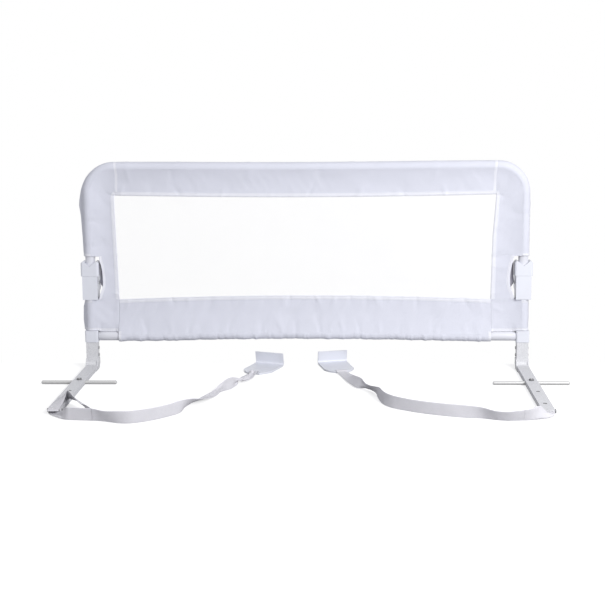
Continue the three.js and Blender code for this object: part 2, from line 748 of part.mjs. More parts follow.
// Woven band along a smooth path through a route's points, two steps to each point. Both faces are split
// along the same diagonal, so they stay apart where the band twists.
function strap(route) {
  const last = route.length * 2 - 2;
  const smooth = (column) => {
    const knots = route.map((row) => new THREE.Vector3().fromArray(row, column));
    const curve = new THREE.CatmullRomCurve3(knots, false, 'catmullrom', 0.5);
    return Array.from({ length: last + 1 }, (_, k) => curve.getPoint(k / last));
  };
  const points = smooth(0);
  const halfWidths = smooth(3);
  const path = new PointPath(points);
  const corners = points.flatMap((point, k) => {
    const across = halfWidths[k];
    const through = path.getTangent(k / last).cross(across).setLength(webbingThickness / 2);
    return [[1, 1], [-1, 1], [-1, -1], [1, -1]]
      .map(([side, face]) => point.clone().addScaledVector(across, side).addScaledVector(through, face));
  });
  const step = [[0, 5, 1], [0, 4, 5], [3, 2, 6], [3, 6, 7], [1, 5, 6], [1, 6, 2], [0, 3, 7], [0, 7, 4]];
  const moved = (face, k) => face.map((corner) => 4 * k + corner);
  const faces = points.slice(1).flatMap((_, k) => step.map((face) => moved(face, k)));
  faces.push([0, 1, 2], [0, 2, 3], moved([0, 2, 1], last), moved([0, 3, 2], last));
  const geometry = new THREE.BufferGeometry().setFromPoints(corners);
  geometry.setIndex(faces.flat());
  return welded(geometry);
}

// One ring of a cloth sleeve: round the tube at centre, then two straight layers that meet at the hem.
// centre and hem are [x, z]; radius, halfHem and inset set the outer or the inner surface.
function sleeveRing(centre, hem, radius, halfHem, inset) {
  const along = new THREE.Vector2(hem[0] - centre[0], hem[1] - centre[1]);
  const length = along.length() - inset;
  along.normalize();
  const touch = Math.acos(radius / Math.hypot(length, halfHem)) + Math.atan2(halfHem, length);
  const local = Array.from({ length: sleeveSides + 1 }, (_, k) => {
    const angle = touch + (k / sleeveSides) * (2 * Math.PI - 2 * touch);
    return [radius * Math.cos(angle), radius * Math.sin(angle)];
  });
  local.push([length, -halfHem], [length, halfHem]);
  return local.map(([a, b]) => new THREE.Vector3(centre[0] + along.x * a, b, centre[1] + along.y * a));
}

// A hollow sleeve through stations of [centre, hem], open at both ends.
function clothSleeve(stations) {
  const rings = stations.map(([centre, hem]) => [
    sleeveRing(centre, hem, coverRadius, hemThickness / 2, 0),
    sleeveRing(centre, hem, sleeveBoreRadius, innerSeamGap / 2, hemStitchWidth),
  ]);
  const count = rings[0][0].length;
  const positions = rings.flatMap((ring) => ring.flat()).flatMap((point) => point.toArray());
  const corner = (station, layer, k) => (station * 2 + layer) * count + (k % count);
  const index = [];
  const quad = (a, b, c, d) => index.push(a, b, c, a, c, d);
  for (let k = 0; k < count; k += 1) {
    for (let s = 0; s < rings.length - 1; s += 1) {
      quad(corner(s, 0, k), corner(s, 0, k + 1), corner(s + 1, 0, k + 1), corner(s + 1, 0, k));
      quad(corner(s, 1, k + 1), corner(s, 1, k), corner(s + 1, 1, k), corner(s + 1, 1, k + 1));
    }
    const end = rings.length - 1;
    quad(corner(0, 0, k + 1), corner(0, 0, k), corner(0, 1, k), corner(0, 1, k + 1));
    quad(corner(end, 0, k), corner(end, 0, k + 1), corner(end, 1, k + 1), corner(end, 1, k));
  }
  const geometry = new THREE.BufferGeometry();
  geometry.setAttribute('position', new THREE.BufferAttribute(new Float32Array(positions), 3));
  geometry.setIndex(index);
  return welded(geometry);
}

function topCover() {
  return clothSleeve([-1, 1].map((sign) => [
    [sign * (seamTopX - seatGap), topTubeHeight],
    [sign * (seamHemX - seatGap), windowTop],
  ]));
}

function bottomCover() {
  return clothSleeve([-1, 1].map((sign) => [
    [sign * (windowHalfWidth - seatGap), bottomRailHeight],
    [sign * (windowHalfWidth - seatGap), windowBottom],
  ]));
}

// Flat stretch of the side cover beside the hinge, with a hollow edge that leaves the hinge free.
function hingeFlap(outerX, top, bottom, shares) {
  const edge = shares.map(([hollow, height]) => [
    outerX - hollow * flapHollow,
    bottom + height * (top - bottom),
  ]);
  const points = [...edge, [windowHalfWidth, bottom], [windowHalfWidth, top]];
  return alongY(shapeOf(points), -hemThickness / 2, hemThickness / 2);
}

// Right-hand upper side cover: round the tube's bend, down the post and beside the hinge to the fold line.
function upperSideCover() {
  const centreX = postX - tubeBendRadius;
  const centreZ = topTubeHeight - tubeBendRadius;
  const hemX = windowHalfWidth + windowCornerRadius;
  const hemZ = windowTop - windowCornerRadius;
  const start = Math.acos((seamTopX - centreX) / tubeBendRadius);
  const bend = Array.from({ length: bendSteps + 1 }, (_, k) => {
    const turn = (k / bendSteps) * (Math.PI / 2);
    const angle = Math.min(start, Math.PI / 2 - turn);
    return [
      [centreX + tubeBendRadius * Math.cos(angle), centreZ + tubeBendRadius * Math.sin(angle)],
      [hemX - windowCornerRadius * Math.sin(turn), hemZ + windowCornerRadius * Math.cos(turn)],
    ];
  });
  const straight = [hemZ, upperSleeveEnd].map((z) => [[postX, z], [windowHalfWidth, z]]);
  const sleeve = clothSleeve([...bend, ...straight]);
  const outerX = postX - lockWidth / 2;
  const flap = hingeFlap(outerX, upperSleeveEnd + flapOverlap, foldLine + seatGap, upperFlapShares);
  return join([sleeve, flap]);
}

// Right-hand lower side cover: the post's sleeve and the flap below the fold line.
function lowerSideCover() {
  const stations = [lowerSleeveBottom, lowerSleeveTop].map((z) => [[postX, z], [windowHalfWidth, z]]);
  const outerX = postX - hingeBodyWidth / 2;
  const flap = hingeFlap(outerX, foldLine - seatGap, lowerSleeveTop - flapOverlap, lowerFlapShares);
  return join([clothSleeve(stations), flap]);
}

// Flat net in the window between two heights: a grid of cells, where every second cell both ways is a gap.
function windowNet(bottom, top, rows) {
  const lines = (low, high, gaps) => {
    const pitch = (high - low - 2 * netBorder + netStrand) / gaps;
    const starts = Array.from({ length: gaps }, (_, k) => low + netBorder + k * pitch);
    return [low, ...starts.flatMap((start) => [start, start + pitch - netStrand]), high];
  };
  const half = windowHalfWidth - seatGap;
  const xs = lines(-half, half, netColumns);
  const zs = lines(bottom, top, rows);
  const isCloth = (i, j) => i >= 0 && j >= 0 && i < xs.length - 1 && j < zs.length - 1 && !(i % 2 && j % 2);
  const positions = [];
  const quad = (...corners) => {
    [0, 1, 2, 0, 2, 3].forEach((k) => positions.push(...corners[k]));
  };
  const front = (i, j) => [xs[i], -netThickness / 2, zs[j]];
  const back = (i, j) => [xs[i], netThickness / 2, zs[j]];
  for (let i = 0; i < xs.length - 1; i += 1) {
    for (let j = 0; j < zs.length - 1; j += 1) {
      if (!isCloth(i, j)) continue;
      quad(front(i, j), front(i + 1, j), front(i + 1, j + 1), front(i, j + 1));
      quad(back(i, j), back(i, j + 1), back(i + 1, j + 1), back(i + 1, j));
      if (!isCloth(i - 1, j)) quad(front(i, j), front(i, j + 1), back(i, j + 1), back(i, j));
      if (!isCloth(i + 1, j)) quad(front(i + 1, j), back(i + 1, j), back(i + 1, j + 1), front(i + 1, j + 1));
      if (!isCloth(i, j - 1)) quad(front(i, j), back(i, j), back(i + 1, j), front(i + 1, j));
      if (!isCloth(i, j + 1)) quad(front(i, j + 1), front(i + 1, j + 1), back(i + 1, j + 1), back(i, j + 1));
    }
  }
  const geometry = new THREE.BufferGeometry();
  geometry.setAttribute('position', new THREE.BufferAttribute(new Float32Array(positions), 3));
  return welded(geometry);
}

place('top_tube', topTube(), 'powderCoat');
place('bottom_rail', bottomRail(), 'powderCoat');
place('top_cover', topCover(), 'polyester');
place('bottom_cover', bottomCover(), 'polyester');
place('upper_window_mesh', windowNet(foldLine + seatGap, windowTop - seatGap, netUpperRows), 'mesh');
place('lower_window_mesh', windowNet(windowBottom + seatGap, foldLine - seatGap, netLowerRows), 'mesh');

for (const { name, sign } of sides) {
  const x = sign * postX;
  place(`upper_side_cover_${name}`, handed(upperSideCover(), sign), 'polyester');
  place(`lower_side_cover_${name}`, handed(lowerSideCover(), sign), 'polyester');
  place(`lower_post_${name}`, lowerPost(), 'powderCoat', x);
  place(`corner_connector_${name}`, handed(cornerConnector(), sign), 'whitePlastic', x);
  place(`connector_screw_${name}`, screw(connectorBack, bottomRailHeight), 'zincSteel', x);
  place(`hinge_body_${name}`, hingeBody(), 'whitePlastic', x);
  place(`hinge_body_screw_${name}`, screw(hingeBodyBack, hingeScrewHeight), 'zincSteel', x);
  place(`hinge_pin_${name}`, handed(hingePin(), sign), 'darkSteel', x);
  place(`hinge_knuckle_${name}`, knuckle(), 'whitePlastic', x);
  place(`knuckle_pin_${name}`, knucklePin(), 'zincSteel', x);
  place(`lock_sleeve_${name}`, lockSleeve(), 'whitePlastic', x);
  place(`arm_${name}`, arm(), 'powderCoat', x);
  rivetHeights.forEach((height, k) => {
    place(`arm_rivet_${name}_${k + 1}`, armRivet(height), 'darkSteel', x);
  });
  place(`cross_rod_${name}`, crossRod(), 'zincSteel', x);
  place(`rod_bolt_${name}`, rodBolt(), 'zincSteel', x);
  place(`strap_pin_${name}`, handed(strapPin(), sign), 'darkSteel', x);
  place(`strap_${name}`, strap(strapRoutes[name]), 'webbing');
  const anchor = new THREE.Group();
  anchor.position.set(anchorPlaces[name].x, anchorPlaces[name].y, 0);
  anchor.rotation.z = THREE.MathUtils.degToRad(anchorPlaces[name].turn);
  assembly.add(anchor);
  place(`anchor_plate_${name}`, anchorPlate(), 'whitePlastic', 0, anchor);
}

export default assembly;
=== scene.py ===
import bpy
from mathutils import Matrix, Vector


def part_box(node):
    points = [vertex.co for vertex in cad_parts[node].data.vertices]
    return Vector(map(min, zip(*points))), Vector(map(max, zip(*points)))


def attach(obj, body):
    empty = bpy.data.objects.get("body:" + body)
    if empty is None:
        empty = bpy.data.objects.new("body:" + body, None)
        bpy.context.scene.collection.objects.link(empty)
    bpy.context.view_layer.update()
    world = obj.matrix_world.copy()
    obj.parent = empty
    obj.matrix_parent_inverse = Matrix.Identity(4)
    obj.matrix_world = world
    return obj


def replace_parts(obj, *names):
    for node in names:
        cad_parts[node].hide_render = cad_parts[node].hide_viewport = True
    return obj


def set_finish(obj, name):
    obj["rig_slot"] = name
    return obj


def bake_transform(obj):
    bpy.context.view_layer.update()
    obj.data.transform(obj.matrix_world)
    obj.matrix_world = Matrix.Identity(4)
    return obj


bl_info = {
    "name": "Folding Bed Guard Rail",
    "version": (1, 0, 0),
    "blender": (4, 5, 0),
    "location": "View3D > Sidebar > Guard Rail",
    "description": "Dresses the folding bed guard rail: cloth cover, net window, straps, tubes and fittings",
    "category": "Add Mesh",
}

import math

import bmesh
import bpy
import numpy as np
from bpy.props import FloatProperty, FloatVectorProperty, PointerProperty
from mathutils import Matrix

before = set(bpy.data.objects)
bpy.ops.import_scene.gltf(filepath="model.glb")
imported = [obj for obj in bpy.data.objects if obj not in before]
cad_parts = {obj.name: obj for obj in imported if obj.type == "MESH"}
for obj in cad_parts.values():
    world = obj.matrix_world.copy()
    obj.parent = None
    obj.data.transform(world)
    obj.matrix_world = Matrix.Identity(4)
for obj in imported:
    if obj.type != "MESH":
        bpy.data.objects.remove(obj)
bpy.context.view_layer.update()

MM = 0.001
SIDES = (("left", -1.0), ("right", 1.0))


def middle(node):
    """Centre of a CAD node's box, in metres."""
    low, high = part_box(node)
    return (np.array(low) + np.array(high)) / 2


# The frame, in metres. The camera, the lamps and the cloth are placed from it too.
TUBE_RADIUS, BEND_RADIUS = 0.011, 0.058
TUBE_CHAMFER = 0.0003
POST_X, POST_Y = middle("lower_post_right")[:2]
TOP_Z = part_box("top_tube")[1][2] - TUBE_RADIUS
RAIL_Z = middle("bottom_rail")[2]
PIVOT = middle("hinge_pin_right")
RAIL_BOW_HALF, TOP_BOW_HALF = 0.46, 0.42
HOLES_Y = (-152, -245, -338)  # millimetres from the posts
HOLE_REACH = 0.0042

# The cover, in metres: the window and its net, then the ends of the posts' sleeves.
WINDOW_X, WINDOW_BOTTOM, WINDOW_TOP, WINDOW_CORNER = 0.418, 0.1575, 0.3935, 0.0015
NET_X, NET_BOTTOM, NET_TOP = WINDOW_X + 0.001, 0.1565, 0.3955
UPPER_SLEEVE_END, LOWER_SLEEVE_TOP, LOWER_SLEEVE_END = 0.257, 0.1583, 0.088

# The corner seams, in metres: their places at the tube and at the hem, how far past them, towards the middle,
# the side bands reach there, and their bow. Folds fade out over SEWN_FADE towards a seam, and a hem's tip
# stands HEM_TIP proud. At NO_RIM from an edge neither binding nor turned edge shows.
SEAM_X, SEAM_HEM_X = 0.426, 0.4165
SEAM_LAP, SEAM_HEM_LAP = 0.0028, 0.0008
SEAM_BOW = 0.002
SEWN_FADE = 0.014
HEM_TIP = 0.0007
NO_RIM = 0.03

# The cloth's shape: power of the fall from tube to hem, reach of the sideways pulls, distance over which a
# crease doubles its width, and the turn round the tube, in radians, at which loose cloth stands out most,
# with its spread.
LAYER_FALL = 2.2
PULL_TO_TUBE, PULL_TO_MIDDLE = 0.05, 0.08
CREASE_SPREAD = 0.022
LOOSE_TURN, LOOSE_SPREAD = -2.0, 0.32
SIDE_FLAP = 40  # points across one layer of a side band

# Stitches, in metres: length of one with its gap, the thread's share of it and half the row's width. The
# cloth is painted lighter over TURNED_EDGE along its openings and seams, a painted highlight.
STITCH_LENGTH, STITCH_SHARE, STITCH_HALF = 0.0034, 0.68, 0.00042
TURNED_EDGE = 0.0065

# Edge of the cloth beside the hinge, in millimetres: height, distance from the middle of the rail.
FLAP_EDGE = np.array([
    [257, 463], [251.5, 462.4], [245, 461.3], [236.9, 458.8], [222, 456.2], [205, 455.2], [194, 455.2],
    [183, 457.2], [172.8, 461.2], [166, 463.2], [162, 464], [158.3, 466],
])

# Edge of the back layer there: it reaches behind the hinge's side, but not at the gap low down.
BACK_EDGE = np.array([
    [257, 462.8], [251.5, 462.6], [245, 462.8], [236.9, 463.2], [222, 463.2], [205, 463.6], [196, 464.6],
    [190, 461.8], [185, 458.4], [176, 460], [166, 463.2], [162, 464], [158.3, 466],
])

# Folds of cloth that stand out behind the posts, in millimetres: height, size.
LOOSE_FOLDS = {
    "left": np.array([
        [84, 7], [110, 10], [140, 9], [153, 5], [257, 4], [300, 6], [345, 9], [368, 13], [380, 12], [412, 5],
        [450, 0],
    ]),
    "right": np.array([[84, 2], [120, 3.2], [153, 2], [257, 0], [340, 1], [372, 3], [385, 1.5], [397, 0]]),
}

# How far the cloth is pulled out at the window's sides, in millimetres: height, shift away from the middle.
PULLS = {
    "left": np.array([[60, 5], [95, 5], [157, 2.4], [389, 9], [440, 0]]),
    "right": np.array([[60, -4], [95, -4], [157, -5], [300, -2], [350, 2], [389, 4.8], [440, 0]]),
}

# Strap routes in millimetres, y from the posts: centre x, y, z and half the webbing's width as a vector,
# from the sewn end round the pin to the anchor's slot.
STRAP_ROUTES = {
    "left": np.array([
        [-397, -439.5, 12.9, 0.2, -1.6, 12.4], [-409, -425, 18, -2, -4, 11.3],
        [-425, -391, 19.5, -5.5, -8.2, 6], [-449, -344, 19, -5, -7.4, 8.4],
        [-468, -319, 20.5, -0.5, -6, 10.6], [-479, -315, 18.5, 6, -5.2, 8.4],
        [-483, -327, 15.6, 9.8, -2.6, 4.4], [-484, -350, 12.4, 10.8, 0, 1.5],
        [-484, -380, 11.2, 11, 0, 0], [-484, -392, 11.2, 11, 0, 0], [-484, -398.6, 9.3, 11, 0, 0],
        [-484, -393, 7.1, 11, 0, 0], [-484, -380, 7.3, 11, 0, 0], [-484, -373.4, 7.5, 11, 0, 0],
        [-484, -370.4, 4.4, 11, 0, 0], [-484, -373.4, 1.3, 11, 0, 0], [-483, -388, 1.9, 10.6, 1, 0.9],
        [-475.5, -400, 4.2, 8.6, 2.4, 3.8], [-465, -413, 7.8, 5.4, 2.4, 7.4],
        [-455, -424.5, 11, 2.4, 1.6, 10.6], [-447, -430.5, 12.8, 0.4, 0.6, 12.4],
        [-436, -432, 12.9, 0, 0.3, 12.5], [-397, -438, 12.9, 0, -1.5, 12.4],
        [-374, -446, 12.3, 0, -4.5, 11.7],
        [-345, -455, 12.9, 0, -1.5, 12.4], [-318, -453, 12.9, 0, 0, 12.5], [-284, -434, 12.9, 0, 0, 12.5],
        [-254, -405, 12.9, 0, 0, 12.5], [-236, -379, 12.9, 0.2, 0.3, 12.5],
        [-223, -342, 10.8, 7.9, -1.9, 9.5], [-207, -299, 5, 11.3, -4.1, 3.4],
        [-190, -257.6, 2.9, 10.6, 3.6, -2], [-178, -229, 5.2, 6.4, 8.8, -4.4],
        [-166, -211, 11.8, -0.6, 1.1, -11.2], [-153, -190, 12.6, 0.8, -4, -11.6],
        [-142.3, -161, 9.5, -1.5, -2, -6.8], [-137, -147, 8.3, -5.5, 1.5, -0.5],
        [-131.5, -132, 7.2, -3.9, 5, 4.5], [-121.5, -101, 5.2, -8, 5.8, 2.6],
        [-116.9, -67.5, 4.4, -8.8, 2.4, 0],
        [-115.6, -62.4, 6.4, -8.8, 3, 0], [-114.2, -58.7, 7, -9, 3.2, 0],
        [-113, -55.5, 6, -9.5, 3.5, 0], [-112.5, -54, 2.4, -10, 3.6, 0],
    ]),
    "right": np.array([
        [431, -431.1, 12.2, 0, -4.4, 11.6], [446, -427.6, 13.2, 0, -2.6, 12.1],
        [460, -419, 14.6, -1.6, 0.5, 12.2], [474, -409, 11.6, -5.4, 4, 9],
        [482.6, -400.4, 7.9, -10.1, 4.1, 1.6], [484, -389, 7.3, -11, 0.2, 0], [484, -373.4, 7.5, -11, 0, 0],
        [484, -370.4, 4.4, -11, 0, 0], [484, -373.4, 1.3, -11, 0, 0], [484, -387, 1.9, -11, 0.3, 0],
        [481.2, -396.6, 3.9, -9.9, 4.5, 1.3], [471, -405.8, 8.3, -5.5, 7.9, 7.3],
        [456.5, -417.5, 12.4, -1.3, 0.6, 12.2], [441, -427, 12.6, 0, -2.5, 12.2],
        [425, -431, 11.9, 0, -4.8, 11.5],
        [400, -434, 11.1, 0, -6.2, 10.8], [376, -429, 11.1, -1, -6.2, 10.7],
        [350, -415.5, 12.5, -0.8, -3, 12.1], [320, -408, 12.9, 0, 0, 12.5], [282, -396, 12.9, 0, 0, 12.5],
        [246, -381, 12.9, 0, 0, 12.5], [213, -362, 12.9, 0, 0, 12.5], [182, -337, 13, 1.4, 1.2, 12.3],
        [165, -306, 12.8, 2, 0.8, 12.2], [157.5, -264, 11.8, 1.2, -2.4, 12],
        [150.4, -230, 9.8, -1.2, -6.8, 8.6], [136, -206, 9.4, -0.4, -8.4, 7],
        [118.2, -184, 11.8, 4.6, 3.4, 9.8], [105.2, -152, 10.5, 6.5, 4.6, 7.8],
        [97, -113, 6.2, 9.4, 4.8, 4.4], [88.9, -76, 3.4, 11.2, 2.6, 1.2], [82, -51.6, 2.6, 11.6, 2.8, 0],
        [81, -47.7, 5, 12.1, 3, 0], [80.1, -43.8, 5.5, 12.1, 3, 0], [79.2, -40.5, 5, 12.1, 3, 0],
        [78.8, -39, 2.4, 12.1, 3, 0],
    ]),
}
# Row of each route that lies behind the pin, where the sewn-back end meets the long strap.
STRAP_TURN = {"left": 14, "right": 7}


# Meshes from arrays

def fraction(value):
    """The value, held between zero and one."""
    return np.clip(value, 0, 1)


def unit(rows):
    """Rows of a table, each divided by its length."""
    return rows / np.linalg.norm(rows, axis=1, keepdims=True)


def walked(path):
    """Distance from the first point of a path to each of its points, along the path."""
    return np.concatenate([[0], np.cumsum(np.linalg.norm(np.diff(path, axis=0), axis=1))])


def add_piece(name, points, faces, material, body, slot, uv=None, smooth=True):
    """A mesh object from an array of points and arrays of face corners; uv gives each point's place on the
    cloth or the webbing."""
    corners = np.concatenate([block.ravel() for block in faces]).astype(np.int32)
    totals = np.concatenate([np.full(len(block), block.shape[1]) for block in faces]).astype(np.int32)
    starts = (np.cumsum(totals) - totals).astype(np.int32)
    mesh = bpy.data.meshes.new(name)
    mesh.vertices.add(len(points))
    mesh.vertices.foreach_set("co", np.ascontiguousarray(points, np.float32).ravel())
    mesh.loops.add(len(corners))
    mesh.loops.foreach_set("vertex_index", corners)
    mesh.polygons.add(len(totals))
    mesh.polygons.foreach_set("loop_start", starts)
    mesh.polygons.foreach_set("loop_total", totals)
    mesh.polygons.foreach_set("use_smooth", np.full(len(totals), smooth))
    mesh.update(calc_edges=True)
    if uv is not None:
        layer = mesh.uv_layers.new(name="UVMap")
        layer.uv.foreach_set("vector", np.ascontiguousarray(uv[corners], np.float32).ravel())
    mesh.validate()
    piece = bpy.data.objects.new(name, mesh)
    bpy.context.scene.collection.objects.link(piece)
    mesh.materials.append(material)
    if body:
        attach(piece, body)
    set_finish(piece, slot)
    return piece


def grid_faces(rows, columns, wrap_columns=False, wrap_rows=False):
    """Quads between neighbouring rows and columns of a grid of points; a wrapped side joins its last row or
    column to its first."""
    i = np.arange(rows if wrap_rows else rows - 1)[:, None]
    j = np.arange(columns if wrap_columns else columns - 1)[None, :]
    after_i, after_j = (i + 1) % rows, (j + 1) % columns
    corners = [i * columns + j, i * columns + after_j, after_i * columns + after_j, after_i * columns + j]
    return np.stack(corners, -1).reshape(-1, 4)


def volume_sign(points, quads):
    """Sign of the volume that quads close round: the sum over faces of corner dot cross of the next two
    corners, measured from the mean point."""
    a, b, c, d = (points[quads[:, k]] - points.mean(0) for k in range(4))
    return np.sign((a * np.cross(b, c)).sum() + (a * np.cross(c, d)).sum())


def outward(points, faces):
    """The same faces, turned round where they enclose a negative volume."""
    quads = next(block for block in faces if block.shape[1] == 4)
    return faces if volume_sign(points, quads) > 0 else [block[:, ::-1] for block in faces]


def section_faces(points):
    """Quads of a grid of closed sections, facing outwards."""
    return outward(points.reshape(-1, 3), [grid_faces(*points.shape[:2], wrap_columns=True)])[0]


def rounded(profile, radius, steps=4):
    """A polyline whose inner corners become curves. A and B lie on a corner's two edges, radius away from
    it, or half the edge if that is less, and the corner becomes points of the parabola from A to B that
    leans towards it."""
    profile = np.asarray(profile, float)
    here = profile[1:-1]
    back, ahead = profile[:-2] - here, profile[2:] - here
    reach_back = np.minimum(radius, np.linalg.norm(back, axis=1) / 2)[:, None]
    reach_ahead = np.minimum(radius, np.linalg.norm(ahead, axis=1) / 2)[:, None]
    start = here + unit(back) * reach_back
    end = here + unit(ahead) * reach_ahead
    t = np.linspace(0, 1, steps + 1)[None, :, None]
    curve = (1 - t) ** 2 * start[:, None] + 2 * t * (1 - t) * here[:, None] + t ** 2 * end[:, None]
    return np.vstack([profile[:1], curve.reshape(-1, profile.shape[1]), profile[-1:]])


AXES = {"x": (1, 2, 0), "y": (2, 0, 1), "z": (0, 1, 2)}


def revolve(profile, centre, axis, segments=40):
    """Surface of revolution: a profile of (radius, place along the axis) pairs, in metres, turned round the
    axis. The point at angle t is radius times cos t and sin t across the axis; the two ends, at radius
    zero, are poles."""
    profile = np.asarray(profile, float)
    rings = profile[profile[:, 0] > 0]
    angle = np.arange(segments) / segments * 2 * math.pi
    local = np.stack([
        rings[:, :1] * np.cos(angle), rings[:, :1] * np.sin(angle), np.repeat(rings[:, 1:], segments, 1),
    ], -1).reshape(-1, 3)
    local = np.vstack([local, [0, 0, profile[0, 1]], [0, 0, profile[-1, 1]]])
    points = np.empty_like(local)
    for source, target in enumerate(AXES[axis]):
        points[:, target] = local[:, source]
    quads = grid_faces(len(rings), segments, wrap_columns=True)
    ring = np.arange(segments)
    following = (ring + 1) % segments
    last = (len(rings) - 1) * segments
    first_pole, last_pole = len(local) - 2, len(local) - 1
    low = np.stack([following, ring, np.full(segments, first_pole)], 1)
    high = np.stack([last + ring, last + following, np.full(segments, last_pole)], 1)
    return points + np.asarray(centre), outward(points, [quads, low, high])


def tube_surface(path, radius, wall, sides=48):
    """Round tube in the plane y = POST_Y: at each path point a circle of the radius across the path's
    direction, out along the outside and back along the bore, closed at both ends by the wall's chamfered
    ring."""
    path = np.asarray(path, float)
    along = unit(np.gradient(path, axis=0))
    across = np.stack([along[:, 1], -along[:, 0]], 1)
    angle = np.arange(sides) / sides * 2 * math.pi

    def ring(size, path_rows, across_rows):
        """Circles of one size round rows of the path."""
        x = path_rows[:, :1] + across_rows[:, :1] * size * np.cos(angle)
        z = path_rows[:, 1:] + across_rows[:, 1:] * size * np.cos(angle)
        y = np.broadcast_to(POST_Y + size * np.sin(angle), x.shape)
        return np.stack([x, y, z], -1)

    outer = ring(radius, path, across)
    inner = ring(radius - wall, path, across)
    start = ring(radius - TUBE_CHAMFER, path[:1] - along[:1] * TUBE_CHAMFER, across[:1])
    end = ring(radius - TUBE_CHAMFER, path[-1:] + along[-1:] * TUBE_CHAMFER, across[-1:])
    points = np.concatenate([start, outer, end, inner[::-1]]).reshape(-1, 3)
    faces = [grid_faces(len(points) // sides, sides, wrap_columns=True, wrap_rows=True)]
    return points, outward(points, faces)


def softened(node, name, width, material, body, slot, segments=2):
    """A copy of a CAD node with its edges rounded: corners merged, flat faces joined, then a bevel of the
    width."""
    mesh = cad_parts[node].data.copy()
    mesh.transform(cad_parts[node].matrix_world)
    work = bmesh.new()
    work.from_mesh(mesh)
    bmesh.ops.remove_doubles(work, verts=work.verts, dist=2e-6)
    bmesh.ops.dissolve_limit(work, angle_limit=0.01, verts=work.verts, edges=work.edges)
    work.to_mesh(mesh)
    work.free()
    mesh.name = name
    mesh.materials.clear()
    mesh.materials.append(material)
    mesh.polygons.foreach_set("use_smooth", np.ones(len(mesh.polygons), bool))
    piece = bpy.data.objects.new(name, mesh)
    bpy.context.scene.collection.objects.link(piece)
    bevel = piece.modifiers.new("rounded edges", "BEVEL")
    bevel.width = width
    bevel.segments = segments
    bevel.limit_method = "ANGLE"
    bevel.angle_limit = math.radians(28)
    bevel.miter_outer = "MITER_ARC"
    normals = piece.modifiers.new("flat faces stay flat", "WEIGHTED_NORMAL")
    normals.keep_sharp = False
    normals.weight = 100
    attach(piece, body)
    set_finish(piece, slot)
    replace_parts(piece, node)
    return piece


def noise(u, v, seed, octaves=2):
    """Smooth noise, mostly within -1 and 1: a sum of plane waves of seeded direction and phase, each octave
    twice as fine and half as strong. u and v are in units of the largest wave."""
    chance = np.random.default_rng(seed)
    total = np.zeros(np.broadcast(u, v).shape)
    for octave in range(octaves):
        for _ in range(5):
            turn, phase = chance.uniform(0, 2 * math.pi, 2)
            pitch = 2 ** octave * chance.uniform(0.7, 1.3) * 2 * math.pi
            total = total + np.sin(pitch * (u * math.cos(turn) + v * math.sin(turn)) + phase) / 2 ** octave
    return total / 6


# Cloth cover

def rail_height(x, sizes):
    """Height of the bottom rail's axis. The cover's pull bows it up by a flat-ended bell, the square of one
    minus the square of x's share of the bow's half length."""
    return RAIL_Z + sizes.rail_bow * fraction(1 - (x / RAIL_BOW_HALF) ** 2) ** 2


def top_height(x, sizes):
    """Height of the top tube's axis, bowed down in the same way between its bends."""
    return TOP_Z - sizes.top_bow * fraction(1 - (x / TOP_BOW_HALF) ** 2) ** 2


def layer_half(to_tube, to_window, sizes):
    """Half the distance between the cover's layers, from the distances to the tube's axis and to the
    window's hem: with t the share of the way from the tube to the hem, it falls from the tube's tangent as
    a power of 1 - t."""
    seat = sizes.sleeve_radius * math.sin(sizes.sleeve_slope)
    rise = sizes.sleeve_radius * math.cos(sizes.sleeve_slope) - sizes.hem_half
    away = np.maximum(to_tube - seat, 0)
    return sizes.hem_half + rise * (1 - away / (away + to_window + 1e-6)) ** LAYER_FALL


def cover_thickness(x, z, sizes):
    """The layers' half distance on the panel below the window's upper corners, where the post and the rail
    are both near: the distance to the tubes is the smooth minimum of the distances to the two axes."""
    under_hem = np.maximum(WINDOW_BOTTOM + hem_arch(x, sizes) - z, 0)
    to_window = np.hypot(np.maximum(np.abs(x) - WINDOW_X, 0), under_hem)
    to_post, to_rail = np.maximum(POST_X - np.abs(x), 1e-4), np.maximum(z - rail_height(x, sizes), 1e-4)
    return layer_half((to_post ** -4 + to_rail ** -4) ** -0.25, to_window, sizes)


def pulled(points):
    """Moves cloth sideways at the window's sides: each side's shift at the point's height, largest at the
    hem, with a smooth step to nothing near the tube and some way into the window."""
    x, z = points[..., 0], points[..., 2]
    away = np.abs(x) - WINDOW_X
    share = fraction(1 - away / PULL_TO_TUBE) * fraction(1 + away / PULL_TO_MIDDLE)
    share = share * share * (3 - 2 * share)
    for side, sign in SIDES:
        knots = PULLS[side] * MM
        shift = sign * np.interp(z, knots[:, 0], knots[:, 1]) * share
        points[..., 0] = points[..., 0] + np.where(x * sign > 0, shift, 0)
    return points


def hem_arch(x, sizes):
    """How far the window's lower hem is drawn up: a parabola, highest at the middle and zero at the
    corners."""
    return sizes.hem_arch * fraction(1 - (x / WINDOW_X) ** 2)


def creases(along, away, seed, pitch, width, fade, ridges):
    """Seeded folds that start at a seam: bell curves along it that lean and widen with the distance away
    and die out over the fade length. The share of ridges is positive, the rest are valleys."""
    chance = np.random.default_rng(seed)
    low, high = float(along.min()), float(along.max())
    count = max(int((high - low) / pitch), 1)
    places = np.linspace(low, high, count) + chance.uniform(-0.42, 0.42, count) * pitch
    force = chance.uniform(0.35, 1.0, count) * np.where(chance.uniform(0, 1, count) < ridges, 1, -1)
    lean = chance.uniform(-0.45, 0.45, count)
    spread = width * chance.uniform(0.7, 1.5, count)
    length = fade * chance.uniform(0.5, 1.5, count)
    total = np.zeros(np.broadcast(along, away).shape)
    for place, strength, slope, wide, long in zip(places, force, lean, spread, length):
        bell = np.exp(-((along - place - slope * away) / (wide * (1 + away / CREASE_SPREAD))) ** 2)
        total = total + strength * bell * np.exp(-(away / long) ** 2)
    return total


